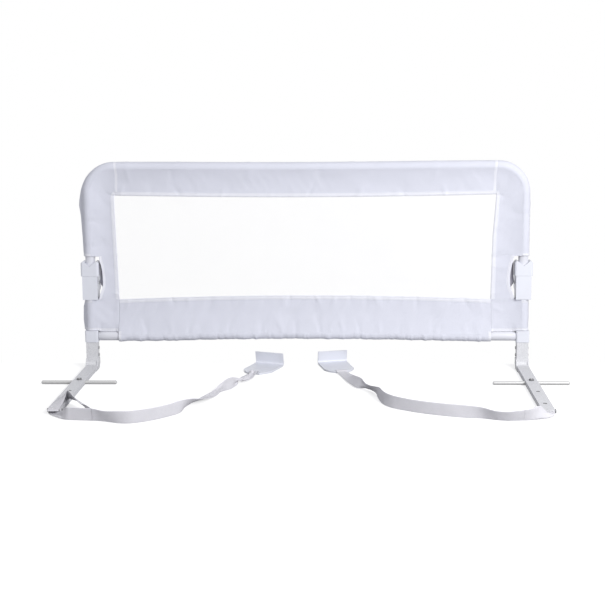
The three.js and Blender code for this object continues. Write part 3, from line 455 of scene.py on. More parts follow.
def hem_sway(along, depth, seed, pitch, sizes):
    """Shift of both layers across the cover where the hem is puckered: seeded folds both ways that fade
    inwards."""
    return sizes.pucker * creases(along, depth, seed, pitch, width=0.0042, fade=0.024, ridges=0.5)


def cloth_relief(along, depth, reach, seed, drape_pitch, sizes):
    """Height of the cloth's folds, in metres: broad and slanted seeded waves, strongest half way across,
    and drapes that rise from the tube's seam, drape_pitch apart."""
    broad_length, broad_width, slanted_length, slanted_width, seam_gap = 0.15, 0.08, 0.05, 0.14, 0.012
    half_way = np.sin(fraction(depth / reach) * math.pi)
    broad = noise(along / broad_length, depth / broad_width, seed)
    slanted = noise((along + 0.7 * depth) / slanted_length, depth / slanted_width, seed + 1)
    waves = sizes.wrinkle * (0.9 * broad + 0.7 * slanted) * (0.2 + 0.8 * half_way)
    from_seam = np.maximum(reach - seam_gap - depth, 0)
    folds = creases(along, from_seam, seed + 3, drape_pitch, width=0.0055, fade=0.034, ridges=0.5)
    return waves + sizes.drape * folds * fraction((depth - 0.002) / 0.01)


def cover_section(centre, edge, flap, wrap, sizes, thickness=None, outer=None, outer_back=None, loose=None):
    """Closed sections of the cover, one row for each station. A section leaves the hem, follows the front
    layer to the tangent of the tube, goes round the tube and returns along the back layer. centre and edge
    are the tube's axis and the hem in x and z; flap and wrap count the points of a layer and those round
    the tube; outer and outer_back move the layers' far edges in from the tangent; thickness gives half the
    layers' distance; loose is the height of a fold that stands out behind the tube. Returns points, the
    distance from the hem and the outward direction."""
    radius, lift = sizes.sleeve_radius, sizes.sleeve_slope
    inward = edge - centre
    reach = np.linalg.norm(inward, axis=1, keepdims=True)
    inward = inward / reach
    tangent = centre + inward * radius * math.sin(lift)
    share = np.linspace(0, 1, flap)[None, :, None]
    ends = [tangent if limit is None else limit for limit in (outer, outer_back)]
    flats = [edge[:, None] + (end - edge)[:, None] * share for end in ends]
    depths = [np.linalg.norm(flat - edge[:, None], axis=2) for flat in flats]
    if thickness is None:
        halves = [layer_half(reach - depth, depth, sizes) for depth in depths]
    else:
        halves = [thickness(flat[..., 0], flat[..., 1]) for flat in flats]
    angle = lift - (math.pi + 2 * lift) * np.linspace(0, 1, wrap + 2)[None, 1:-1]
    fold = np.zeros_like(reach) if loose is None else loose[:, None]
    size = radius + fold * np.exp(-((angle - LOOSE_TURN) / LOOSE_SPREAD) ** 2)
    round_xz = centre[:, None] + inward[:, None] * (size * np.sin(angle))[..., None]
    round_depth = reach + radius * np.abs(angle - lift)
    tip = edge + inward * HEM_TIP
    zero, one, level = np.zeros_like(reach), np.ones_like(halves[0]), np.zeros_like(flats[0])
    xz = np.concatenate([flats[0], round_xz, flats[1][:, ::-1], tip[:, None]], 1)
    y = np.concatenate([-halves[0], -size * np.cos(angle), halves[1][:, ::-1], zero], 1)
    distance = np.concatenate([depths[0], round_depth, depths[1][:, ::-1], zero], 1)
    out_xz = np.concatenate([level, inward[:, None] * np.sin(angle)[..., None], level, inward[:, None]], 1)
    out_y = np.concatenate([-one, np.broadcast_to(-np.cos(angle), size.shape), one, zero], 1)
    points = np.stack([xz[..., 0], y, xz[..., 1]], -1)
    direction = np.stack([out_xz[..., 0], out_y, out_xz[..., 1]], -1)
    return points, distance, direction


def dressed(points, distance, direction, along, reach, seed, pitches, sizes, sewn):
    """Adds folds to cover sections along each point's outward direction: the front and the back layer have
    their own, both fade at the hem, and the sleeve keeps a share of them. The hem's binding stands a little
    proud. pitches are the spacing of the hem's puckers and of the drapes; sewn takes the folds away where
    the piece is sewn flat to the next one."""
    pucker_pitch, drape_pitch = pitches
    binding_lift, binding_slope = 0.0005, 0.0004
    least_half, deepest_dent = 0.00095, 0.0012
    hem_fade, sway_fade, sleeve_share = 0.008, 0.02, 0.45
    depth = np.minimum(distance, reach)
    front = cloth_relief(along, depth, reach, seed, drape_pitch, sizes)
    back = cloth_relief(along, depth, reach, seed + 40, drape_pitch, sizes)
    relief = np.where(direction[..., 1] <= 0, front, back)
    flat = np.abs(direction[..., 1]) > 0.999
    binding = binding_lift / (1 + np.exp((depth - sizes.hem_width) / binding_slope))
    near_hem = 0.35 + 0.65 * fraction(depth / hem_fade)
    height = np.where(flat, relief * near_hem + binding, sleeve_share * relief)
    height = np.maximum(height, np.where(flat, least_half - np.abs(points[..., 1]), -deepest_dent))
    points = points + direction * (height * sewn)[..., None]
    sway = hem_sway(along, depth, seed + 2, pucker_pitch, sizes)
    points[..., 1] += sway * sewn * fraction((reach - depth) / sway_fade)
    return points


def add_cloth(name, grid, distance, along, faces, materials, body, sizes, rim):
    """A cover piece from a grid of points, with its place on the cloth as UV: along the seam and in from the
    hem. The cloth's reverse gets a darker material, painted shade for the inside of the cover between its
    layers; rim is the distance from a cut edge."""
    uv = np.stack([np.broadcast_to(along, distance.shape), distance], -1).reshape(-1, 2)
    points = grid.reshape(-1, 3).copy()
    points[:, 1] += POST_Y
    piece = add_piece(name, points, [faces], materials["polyester"], None, "polyester", uv)
    piece.data.materials.append(materials["reverse"])
    rims = np.ascontiguousarray(np.broadcast_to(rim, distance.shape), np.float32)
    piece.data.attributes.new("rim", "FLOAT", "POINT").data.foreach_set("value", rims.ravel())
    cloth = piece.modifiers.new("cloth thickness", "SOLIDIFY")
    cloth.thickness = sizes.cloth_thickness
    cloth.offset = -1
    # The inner shell gets the reverse's painted shade.
    cloth.material_offset = 1
    if body:
        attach(piece, body)
    return piece


def seam_bow(away, reach):
    """Shift of the corner seam from a straight line, in metres: with t the share of the way from the tube
    to the hem, it grows as t minus its fifth power, so the seam turns to the window's corner over the last
    part."""
    t = 1 - fraction(away / reach)
    return SEAM_BOW * (t - t ** 5)


def build_top_band(sizes, materials):
    """Band along the top tube: sections between the corner seams, a little longer at the tube than at the
    hem. Its ends are tucked under the side bands, and its rim is counted from where they cover it."""
    tuck_depth, tuck_start, tuck_ramp, covered = 0.0004, 0.0033, 0.002, 0.0022
    x = np.linspace(-1, 1, 241)
    ease = fraction((np.abs(x) - 0.9) / 0.1) ** 1.5
    tube_x = x * SEAM_X
    hem_x = tube_x - np.sign(x) * (SEAM_X - SEAM_HEM_X) * ease
    centre = np.stack([tube_x, top_height(tube_x, sizes)], 1)
    edge = np.stack([hem_x, WINDOW_TOP - sizes.top_sag * (1 - x ** 2)], 1)
    points, distance, direction = cover_section(centre, edge, 40, 30, sizes)
    along = np.broadcast_to(tube_x[:, None], distance.shape)
    reach = np.linalg.norm(edge - centre, axis=1)[:, None]
    sewn = fraction((SEAM_X - np.abs(along)) / SEWN_FADE)
    points = dressed(points, distance, direction, along, reach, 11, (0.06, 0.11), sizes, sewn)
    points[..., 0] += (np.sign(x) * ease)[:, None] * seam_bow(distance, reach)
    tuck = tuck_depth * fraction((np.abs(along) - SEAM_X + tuck_start) / tuck_ramp)
    points = pulled(points - direction * tuck[..., None])
    rim = np.maximum(SEAM_X - covered - np.abs(along), 0.0002)
    faces = section_faces(points)
    piece = add_cloth("top_band", points, distance, along, faces, materials, "guard", sizes, rim)
    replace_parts(piece, "top_cover")
    return piece


def build_bottom_band(sizes, materials):
    """Band along the bottom rail: sections from one side of the window to the other, with the hem drawn up
    in the middle and the layers spread by the cover's thickness there; the sleeve's underside is gathered
    in seeded scallops."""
    underside_drop, underside_half = 0.007, 0.010
    swell, dent, bulge = 0.0006, 0.0008, 0.004
    x = np.linspace(-WINDOW_X, WINDOW_X, 421)
    centre = np.stack([x, rail_height(x, sizes)], 1)
    edge = np.stack([x, WINDOW_BOTTOM + hem_arch(x, sizes)], 1)
    points, distance, direction = cover_section(
        centre, edge, 46, 34, sizes, thickness=lambda px, pz: cover_thickness(px, pz, sizes))
    along = np.broadcast_to(x[:, None], distance.shape)
    reach = (edge - centre)[:, 1:]
    sewn = fraction((WINDOW_X - np.abs(along)) / SEWN_FADE)
    points = dressed(points, distance, direction, along, reach, 23, (0.030, 0.034), sizes, sewn)
    underside = fraction(1 - np.abs(points[..., 2] - (centre[:, 1:] - underside_drop)) / underside_half)
    gather = creases(along, np.zeros_like(distance), 5, 0.016, width=0.0034, fade=1.0, ridges=0.4)
    lump = swell + swell * noise(along / 0.05, 0 * along, 9) + sizes.gather * gather
    points = pulled(points + direction * (np.clip(lump, -dent, bulge) * underside ** 0.7)[..., None])
    sewn_on = points[..., 2] > LOWER_SLEEVE_END
    rim = WINDOW_X - np.abs(along) + NO_RIM * sewn_on
    faces = section_faces(points)
    piece = add_cloth("bottom_band", points, distance, along, faces, materials, "base", sizes, rim)
    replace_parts(piece, "bottom_cover")
    return piece


def side_stations():
    """Tube axis points and hem points of the side's sections: a few rows at the corner seam, a fan round
    the window's corner, then rows down the post, doubled where the sleeve ends. The third result marks the
    rows on the post."""
    first_step, cut_step, cut_margin = 0.004, 0.0003, 0.0025
    fan = np.linspace(math.pi / 2, 0, 28)
    bend_x, bend_z, corner = POST_X - BEND_RADIUS, TOP_Z - BEND_RADIUS, WINDOW_CORNER
    centre = np.stack([bend_x + BEND_RADIUS * np.cos(fan), bend_z + BEND_RADIUS * np.sin(fan)], 1)
    edge = np.stack([WINDOW_X - corner + corner * np.cos(fan), WINDOW_TOP - corner + corner * np.sin(fan)], 1)
    seam = np.linspace(0, 1, 5)[:-1, None]
    centre = np.vstack([[SEAM_X - SEAM_LAP, TOP_Z] + seam * [bend_x - SEAM_X + SEAM_LAP, 0], centre])
    edge = np.vstack([[SEAM_HEM_X - SEAM_HEM_LAP, WINDOW_TOP] + seam * [SEAM_HEM_LAP, 0], edge])
    heights = np.concatenate([
        np.linspace(bend_z - first_step, UPPER_SLEEVE_END, 44), [UPPER_SLEEVE_END - cut_step],
        np.linspace(UPPER_SLEEVE_END - cut_margin, LOWER_SLEEVE_TOP + cut_margin, 44),
        [LOWER_SLEEVE_TOP + cut_step], np.linspace(LOWER_SLEEVE_TOP, LOWER_SLEEVE_END, 30),
    ])
    ease = fraction((heights - UPPER_SLEEVE_END) / (bend_z - UPPER_SLEEVE_END))
    hems = heights - (bend_z - (WINDOW_TOP - corner)) * ease
    centre = np.vstack([centre, np.stack([np.full_like(heights, POST_X), heights], 1)])
    edge = np.vstack([edge, np.stack([np.full_like(hems, WINDOW_X), hems], 1)])
    return centre, edge, np.arange(len(centre)) >= len(fan) + len(seam)


def layer_ends(centre, inward, cut_out, sizes):
    """Far ends of the side's front and back layers: the tube's tangent, and beside the hinge each layer's
    own edge."""
    z = centre[cut_out, 1]
    ends = []
    for knots in (FLAP_EDGE * MM, BACK_EDGE * MM):
        end = centre + inward * sizes.sleeve_radius * math.sin(sizes.sleeve_slope)
        end[cut_out, 0] = np.interp(z, knots[::-1, 0], knots[::-1, 1])
        ends.append(end)
    return ends


def side_rim(distance, direction, flat, z, layer_lengths, cut_out, straight):
    """Distance from the side band's nearest cut edge, at most NO_RIM: the layers' edges beside the hinge,
    the ends of the sleeves and the lower end of the whole band."""
    low_part = 0.15
    to_edge = np.where(direction[..., 1] < 0, layer_lengths[0], layer_lengths[1]) - distance
    free = np.where(cut_out[:, None] & flat, np.clip(to_edge, 0, NO_RIM), NO_RIM)
    lower_free = np.minimum(np.abs(z - LOWER_SLEEVE_TOP), np.abs(z - LOWER_SLEEVE_END))
    sleeve_free = np.where(z > PIVOT[2], np.abs(z - UPPER_SLEEVE_END), lower_free)
    free = np.where(flat, free, np.minimum(free, sleeve_free))
    return np.where(straight[:, None] & (z < low_part), np.minimum(free, z - LOWER_SLEEVE_END), free)


def tuck_corner(points, z):
    """Draws the side band's lower inner corner down and flattens it, where it goes under beside the
    connector."""
    inner, inner_ramp, low, low_ramp = 0.470, 0.008, 0.108, 0.020
    drop, flattened, hem_ramp = 0.0034, 0.42, 0.006
    tucked = fraction((inner - points[..., 0]) / inner_ramp) * fraction((low - z) / low_ramp) ** 1.5
    points[..., 2] -= drop * tucked
    points[..., 1] *= 1 - flattened * tucked * fraction((points[..., 0] - WINDOW_X) / hem_ramp)


def build_side_band(side, sign, sizes, materials):
    """Side of the cover from the top seam round the bend and down past the hinge. Its sections fan round
    the window's corner, then go down the post; beside the hinge the sleeve is left out and each layer ends
    at its own edge."""
    rolled_height, rolled_width, seam_rows = 0.0006, 0.0035, 20
    centre, edge, straight = side_stations()
    z = centre[:, 1:]
    height = centre[:, 1]
    cut_out = straight & (height < UPPER_SLEEVE_END - 1e-5) & (height > LOWER_SLEEVE_TOP + 1e-5)
    reach = np.linalg.norm(edge - centre, axis=1, keepdims=True)
    ends = layer_ends(centre, (edge - centre) / reach, cut_out, sizes)

    def thickness(px, pz):
        """The panel's own thickness down the post, and the section's above the corner."""
        from_hem = np.hypot(px - edge[:, None, 0], pz - edge[:, None, 1])
        fan_half = layer_half(reach - from_hem, from_hem, sizes)
        return np.where(straight[:, None], cover_thickness(px, pz, sizes), fan_half)

    knots = LOOSE_FOLDS[side] * MM
    loose = np.where(cut_out, 0, np.interp(height, knots[:, 0], knots[:, 1]))
    points, distance, direction = cover_section(
        centre, edge, SIDE_FLAP, 36, sizes, thickness=thickness, outer=ends[0], outer_back=ends[1],
        loose=loose)
    walk = walked((centre + edge) / 2)[:, None]
    along = np.broadcast_to(walk, distance.shape)
    seed = 31 if sign < 0 else 137
    below = fraction((WINDOW_BOTTOM + 0.001 - z) / 0.004)
    sewn = (1 - below * (1 - fraction(distance / SEWN_FADE))) * fraction(walk / SEWN_FADE)
    points = dressed(points, distance, direction, along, reach, seed, (0.036, 0.06), sizes, sewn)
    seam_share = fraction(1 - np.arange(len(z)) / seam_rows)[:, None] * ~straight[:, None]
    points[..., 0] += seam_bow(distance, reach) * seam_share
    columns = distance.shape[1]
    flat = np.zeros(columns, bool)
    flat[:SIDE_FLAP] = flat[-SIDE_FLAP - 1:-1] = True
    layer_lengths = [np.linalg.norm(end - edge, axis=1)[:, None] for end in ends]
    free = side_rim(distance, direction, flat, z, layer_lengths, cut_out, straight)
    points = points + direction * (rolled_height * np.exp(-(free / rolled_width) ** 2))[..., None]
    tuck_corner(points, z)
    points[..., 0] *= sign
    points = pulled(points)
    keep = np.ones((len(z) - 1, columns), bool)
    keep[cut_out[:-1] | cut_out[1:], SIDE_FLAP - 1:columns - SIDE_FLAP - 1] = False
    faces = section_faces(points)[keep.ravel()]
    from_hem = distance + NO_RIM * below  # no binding below the window's corner
    piece = add_cloth(f"side_band_{side}", points, from_hem, along, faces, materials, None, sizes, free)
    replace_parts(piece, f"upper_side_cover_{side}", f"lower_side_cover_{side}")
    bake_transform(piece)
    return piece


def build_window(material):
    """The net: a sheet between the cover's layers, with a slight seeded wave across it that fades at its
    edges."""
    wave_height, wave_low, wave_peak = 0.0012, 0.16, 0.0136
    x, z = np.meshgrid(np.linspace(-NET_X, NET_X, 120), np.linspace(NET_BOTTOM, NET_TOP, 48))
    free = fraction(1 - (x / WINDOW_X) ** 2) * fraction((z - wave_low) * (WINDOW_TOP - z) / wave_peak)
    y = POST_Y + wave_height * noise(x / 0.35, z / 0.2, 3) * free
    points = pulled(np.stack([x, y, z], -1)).reshape(-1, 3)
    uv = np.stack([x, z], -1).reshape(-1, 2)
    piece = add_piece("window_net", points, [grid_faces(*x.shape)], material, None, "mesh", uv)
    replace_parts(piece, "upper_window_mesh", "lower_window_mesh")
    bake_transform(piece)
    return piece


# Straps

def smooth_rows(rows, steps):
    """Catmull-Rom curve through rows of numbers: each span is the cubic whose end slopes are half the
    difference of the neighbouring rows, sampled at equal steps."""
    rows = np.vstack([2 * rows[0] - rows[1], rows, 2 * rows[-1] - rows[-2]])
    spans = len(rows) - 3
    t = np.arange(spans * steps + 1) / steps
    i = np.minimum(t.astype(int), spans - 1)
    w = (t - i)[:, None]
    before, start, end, after = rows[i], rows[i + 1], rows[i + 2], rows[i + 3]
    slope_start, slope_end = (end - before) / 2, (after - start) / 2
    cubed = 2 * start - 2 * end + slope_start + slope_end
    squared = 3 * end - 3 * start - 2 * slope_start - slope_end
    return cubed * w ** 3 + squared * w ** 2 + slope_start * w + start


def webbing(rows, sizes, tapered=False):
    """Band along a smooth path: at each station a section with rounded selvedges, spanned by the width
    vector and by the direction across both it and the path. Where the vector is shorter than half the
    webbing's width, the band is gathered in one and a half waves whose developed length keeps the width.
    Returns points, faces, uv and path."""
    waves, developed_width, taper_length = 1.5, 0.021, 0.004
    columns_across, last_share, edge_share = 25, 0.975, 0.72
    path = smooth_rows(rows, 8) * MM
    centre, half_width = path[:, :3] + np.array([0, POST_Y, 0]), path[:, 3:]
    along = unit(np.gradient(centre, axis=0))
    normal = unit(np.cross(along, half_width))
    width = np.linalg.norm(half_width, axis=1)
    slack = np.sqrt(np.maximum(developed_width / (2 * width) - 1, 0))
    gathered = 2 * width / (math.pi * waves) * slack
    across = np.linspace(last_share, -last_share, columns_across)
    face = np.concatenate([[edge_share], np.ones(columns_across - 2), [edge_share]])
    side_share = np.concatenate([across, [-1], across[::-1], [1]])
    face_share = np.concatenate([face, [0], -face[::-1], [0]])
    thick = np.full(len(centre), sizes.webbing_thickness / 2)
    length = walked(centre)
    if tapered:
        thick = thick * (0.25 + 0.75 * fraction(length / taper_length))
    drift = noise(length / 0.03, 0 * length, 77)[:, None]
    wave = gathered[:, None] * np.sin(math.pi * waves * side_share[None, :] + 0.6 * drift)
    lift = wave + thick[:, None] * face_share[None, :]
    spread = half_width[:, None] * side_share[None, :, None]
    points = centre[:, None] + spread + normal[:, None] * lift[..., None]
    lengthwise = np.broadcast_to(length[:, None], points.shape[:2])
    uv = np.stack([lengthwise, width[:, None] * side_share[None, :]], -1)
    columns = len(side_share)
    quads = grid_faces(len(centre), columns, wrap_columns=True)
    pairs = np.arange((columns - 2) // 2)
    far_pairs = columns - 2 - pairs
    cap = np.stack([pairs, pairs + 1, (far_pairs - 1) % columns, far_pairs % columns], 1)
    last = (len(centre) - 1) * columns
    faces = outward(points.reshape(-1, 3), [quads, cap, cap[:, ::-1] + last])
    return points.reshape(-1, 3), faces, uv.reshape(-1, 2), centre


def build_straps(side, sizes, material):
    """The long strap from behind the pin to the anchor's slot, and its end that is sewn back on it."""
    rows, turn = STRAP_ROUTES[side], STRAP_TURN[side]
    points, faces, uv, path = webbing(rows[turn:], sizes)
    strap = add_piece(f"webbing_{side}", points, faces, material, "base", "webbing", uv)
    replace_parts(strap, f"strap_{side}")
    points, faces, uv, _ = webbing(rows[:turn + 1], sizes, tapered=True)
    tail = add_piece(f"webbing_end_{side}", points, faces, material, "base", "webbing", uv)
    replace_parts(tail, f"strap_{side}")
    [float(v) for v in path[0]]
    round(float(walked(path)[-1]), 3)
    return strap


# Shader nodes

def set_inputs(tree, made, inputs):
    """Gives a node's inputs their values; a value is a number, a colour or another node's output."""
    for key, value in inputs.items():
        if isinstance(value, bpy.types.NodeSocket):
            tree.links.new(value, made.inputs[key])
        else:
            made.inputs[key].default_value = value
    return made


def place_node(tree, kind, inputs=None, **settings):
    """A shader node with its settings and inputs."""
    made = tree.nodes.new(kind)
    for key, value in settings.items():
        setattr(made, key, value)
    return set_inputs(tree, made, inputs or {})


def math_node(tree, operation, *values):
    """The result of one arithmetic step on numbers or sockets."""
    return place_node(tree, "ShaderNodeMath", dict(enumerate(values)), operation=operation).outputs[0]


def uv_place(tree):
    """Outputs of the piece's own UV map: the vector itself, the place along the seam and the distance
    across."""
    uv = place_node(tree, "ShaderNodeUVMap", uv_map="UVMap").outputs[0]
    parts = place_node(tree, "ShaderNodeSeparateXYZ", {0: uv}).outputs
    return uv, parts[0], parts[1]


def new_group(name, inputs, outputs):
    """An empty node group with named number, vector or colour sockets."""
    group = bpy.data.node_groups.new(name, "ShaderNodeTree")
    for direction, sockets in (("INPUT", inputs), ("OUTPUT", outputs)):
        for label, kind in sockets:
            group.interface.new_socket(name=label, in_out=direction, socket_type=f"NodeSocket{kind}")
    return group, group.nodes.new("NodeGroupInput").outputs, group.nodes.new("NodeGroupOutput").inputs


def weave_group():
    """Plain weave: the height is the product of two sines across the yarns, broken a little by noise."""
    group, given, result = new_group(
        "plain weave", [("Vector", "Vector"), ("Pitch", "Float")], [("Height", "Float")])
    parts = place_node(group, "ShaderNodeSeparateXYZ", {0: given["Vector"]}).outputs
    turn = math_node(group, "DIVIDE", math.pi, given["Pitch"])
    across = math_node(group, "SINE", math_node(group, "MULTIPLY", parts[0], turn))
    along = math_node(group, "SINE", math_node(group, "MULTIPLY", parts[1], turn))
    noise_node = place_node(
        group, "ShaderNodeTexNoise", {"Vector": given["Vector"], "Scale": 900.0, "Detail": 1.0})
    product = math_node(group, "MULTIPLY", across, along)
    rough = math_node(group, "MULTIPLY_ADD", noise_node.outputs["Fac"], 0.5, product)
    group.links.new(rough, result["Height"])
    return group


def stitch_group():
    """Row of stitches: one where the distance from the hem is near the row's and the place along it is in the
    thread's share of a stitch."""
    group, given, result = new_group(
        "stitches", [("Distance", "Float"), ("Along", "Float"), ("Row", "Float")], [("Mask", "Float")])
    off = math_node(group, "ABSOLUTE", math_node(group, "SUBTRACT", given["Distance"], given["Row"]))
    on_row = math_node(group, "LESS_THAN", off, STITCH_HALF)
    step = math_node(group, "FRACT", math_node(group, "DIVIDE", given["Along"], STITCH_LENGTH))
    thread = math_node(group, "LESS_THAN", step, STITCH_SHARE)
    group.links.new(math_node(group, "MULTIPLY", on_row, thread), result["Mask"])
    return group


def grain_group():
    """Two sizes of noise on one vector: a broad tone from 0 to 1 and a fine height."""
    group, given, result = new_group(
        "grain", [("Vector", "Vector"), ("Broad Scale", "Float"), ("Fine Scale", "Float")],
        [("Tone", "Float"), ("Height", "Float")])
    broad = place_node(group, "ShaderNodeTexNoise", {
        "Vector": given["Vector"], "Scale": given["Broad Scale"], "Detail": 3.0})
    fine = place_node(group, "ShaderNodeTexNoise", {
        "Vector": given["Vector"], "Scale": given["Fine Scale"], "Detail": 2.0})
    group.links.new(broad.outputs["Fac"], result["Tone"])
    group.links.new(fine.outputs["Fac"], result["Height"])
    return group


def shared_group(name):
    """The node group of that name, built the first time it is asked for."""
    makers = {"plain weave": weave_group, "stitches": stitch_group, "grain": grain_group}
    return bpy.data.node_groups.get(name) or makers[name]()


def use_group(tree, name, inputs):
    """A shared group placed in a material with its own values."""
    made = tree.nodes.new("ShaderNodeGroup")
    made.node_tree = shared_group(name)
    return set_inputs(tree, made, inputs).outputs


def mixed(tree, share, first, second):
    """A colour between two colours."""
    return place_node(tree, "ShaderNodeMix", {0: share, 6: first, 7: second}, data_type="RGBA").outputs[2]


def shaded(colour, factor):
    """A colour made darker or lighter by a factor."""
    return (*[min(c * factor, 1.0) for c in colour[:3]], 1.0)


def new_material(name, **values):
    """A material with a Principled shader whose plain values are set on its own sockets."""
    material = bpy.data.materials.new(name)
    material.use_nodes = True
    tree = material.node_tree
    shader = tree.nodes["Principled BSDF"]
    for key, value in values.items():
        shader.inputs[key.replace("_", " ").title()].default_value = value
    return material, tree, shader


def bump(tree, height, distance, strength=1.0):
    """A Bump node's normal from a height."""
    return place_node(
        tree, "ShaderNodeBump", {"Height": height, "Distance": distance, "Strength": strength}).outputs[0]


def polyester(finish):
    """Cover cloth: plain weave in a pale lilac white, a lighter binding along the window with two rows of
    stitches, and a lighter turned edge with one row round the openings. The binding's lighter colour is
    partly its own and partly painted highlight; the turned edge's is painted highlight."""
    hem_rows, rim_row = (0.0065, 0.0016), 0.0052
    material, tree, shader = new_material(
        "polyester cloth", roughness=0.82, sheen_weight=0.12, sheen_roughness=0.5)
    uv, along, distance = uv_place(tree)
    grain = use_group(tree, "grain", {"Vector": uv, "Broad Scale": 9.0, "Fine Scale": 140.0})
    weave = use_group(tree, "plain weave", {"Vector": uv, "Pitch": 0.0006})["Height"]
    rim = place_node(tree, "ShaderNodeAttribute", attribute_name="rim").outputs["Fac"]
    slanted = math_node(tree, "ADD", along, distance)
    threads = use_group(tree, "stitches", {"Distance": rim, "Along": slanted, "Row": rim_row})["Mask"]
    for row in hem_rows:
        stitches = use_group(tree, "stitches", {"Distance": distance, "Along": along, "Row": row})["Mask"]
        threads = math_node(tree, "MAXIMUM", threads, stitches)
    # Lighter strip along the binding and the turned edges and seams: partly the binding's own colour, partly
    # painted highlight.
    binding = math_node(tree, "LESS_THAN", distance, 0.008)
    binding_and_highlight = math_node(tree, "MAXIMUM", binding, math_node(tree, "LESS_THAN", rim, TURNED_EDGE))
    base = mixed(tree, grain["Tone"], shaded(finish.cloth_colour, 0.955), shaded(finish.cloth_colour, 1.03))
    lighter = mixed(tree, math_node(tree, "MULTIPLY", binding_and_highlight, 0.8), base, tuple(finish.binding_and_highlight_colour) + (1.0,))
    thread_share = math_node(tree, "MULTIPLY", threads, 0.3)
    colour = mixed(tree, thread_share, lighter, shaded(finish.cloth_colour, 0.72))
    tree.links.new(colour, shader.inputs["Base Color"])
    tree.links.new(math_node(tree, "MULTIPLY_ADD", grain["Height"], 0.12, 0.76), shader.inputs["Roughness"])
    yarns = math_node(tree, "MULTIPLY_ADD", grain["Height"], 1.5, math_node(tree, "MULTIPLY", weave, 0.55))
    height = math_node(tree, "MULTIPLY_ADD", threads, -1.6, yarns)
    tree.links.new(bump(tree, height, 0.00022), shader.inputs["Normal"])
    return material


def net():
    """Window net: a fine square mesh in the alpha, with thread where the place, counted in meshes in either
    direction, has a fraction below the thread's share."""
    mesh_pitch, thread_share = 0.0017, 0.11
    material, tree, shader = new_material("window net", roughness=0.7)
    uv, *parts = uv_place(tree)
    threads = []
    for part in parts:
        step = math_node(tree, "FRACT", math_node(tree, "DIVIDE", part, mesh_pitch))
        threads.append(math_node(tree, "LESS_THAN", step, thread_share))
    tone = place_node(tree, "ShaderNodeTexNoise", {"Vector": uv, "Scale": 14.0}).outputs["Fac"]
    tree.links.new(mixed(tree, tone, (0.82, 0.82, 0.84, 1), (0.9, 0.9, 0.92, 1)), shader.inputs["Base Color"])
    tree.links.new(math_node(tree, "MAXIMUM", *threads), shader.inputs["Alpha"])
    return material


def webbing_cloth(finish):
    """Strap webbing: ribs along the band and picks across it, with a smooth selvedge at both sides, slight
    changes of tone along its length and painted shade in the valleys between the ribs."""
    rib_pitch, pick_pitch, selvedge_start = 0.0019, 0.0012, 0.0112
    material, tree, shader = new_material("strap webbing", roughness=0.7, sheen_weight=0.1)
    uv, along, across = uv_place(tree)
    ribs = math_node(tree, "SINE", math_node(tree, "MULTIPLY", across, 2 * math.pi / rib_pitch))
    picks = math_node(tree, "SINE", math_node(tree, "MULTIPLY", along, 2 * math.pi / pick_pitch))
    selvedge = math_node(tree, "GREATER_THAN", math_node(tree, "ABSOLUTE", across), selvedge_start)
    weave = math_node(tree, "MULTIPLY_ADD", ribs, picks, ribs)
    body = math_node(tree, "MULTIPLY", weave, math_node(tree, "SUBTRACT", 1.0, selvedge))
    grain = use_group(tree, "grain", {"Vector": uv, "Broad Scale": 26.0, "Fine Scale": 420.0})
    base = mixed(tree, grain["Tone"], shaded(finish.webbing_colour, 0.9), shaded(finish.webbing_colour, 1.06))
    # Painted shade: the valleys between the ribs are darker.
    valley = math_node(tree, "MULTIPLY", math_node(tree, "LESS_THAN", ribs, -0.55), 0.3)
    colour = mixed(tree, valley, base, shaded(finish.webbing_colour, 0.62))
    tree.links.new(colour, shader.inputs["Base Color"])
    tree.links.new(math_node(tree, "MULTIPLY_ADD", grain["Height"], 0.2, 0.6), shader.inputs["Roughness"])
    height = math_node(tree, "MULTIPLY_ADD", grain["Height"], 0.6, body)
    tree.links.new(bump(tree, height, 0.00016), shader.inputs["Normal"])
    return material


def hard_finish(name, colour, roughness, metallic, broad, fine, dimple, mottle=0.0):
    """Paint, plastic or metal: one colour with a slight change of tone and, by mottle, of its fine grain,
    and a fine surface in roughness and bump."""
    material, tree, shader = new_material(name, roughness=roughness, metallic=metallic)
    place = place_node(tree, "ShaderNodeTexCoord").outputs["Object"]
    grain = use_group(tree, "grain", {"Vector": place, "Broad Scale": broad, "Fine Scale": fine})
    base = mixed(tree, grain["Tone"], shaded(colour, 0.95), shaded(colour, 1.04))
    if mottle:
        speckle = mixed(tree, grain["Height"], shaded(colour, 1 - 2 * mottle), shaded(colour, 1 + 2 * mottle))
        base = mixed(tree, 0.5, base, speckle)
    tree.links.new(base, shader.inputs["Base Color"])
    rough = math_node(tree, "MULTIPLY_ADD", grain["Tone"], 0.14, roughness - 0.07)
    tree.links.new(rough, shader.inputs["Roughness"])
    tree.links.new(bump(tree, grain["Height"], dimple, 0.6), shader.inputs["Normal"])
    return material


# Short names of the finishes, and the names of their materials.
MATERIAL_NAMES = {
    "polyester": "polyester cloth", "reverse": "painted shade on cloth reverse", "mesh": "window net",
    "webbing": "strap webbing", "powder_coat": "white paint", "arm_paint": "arm paint",
    "hole_shade": "painted shade in holes", "white_plastic": "white plastic", "rivet": "rivet steel",
    "zinc_steel": "zinc steel", "dark_steel": "dark steel",
}


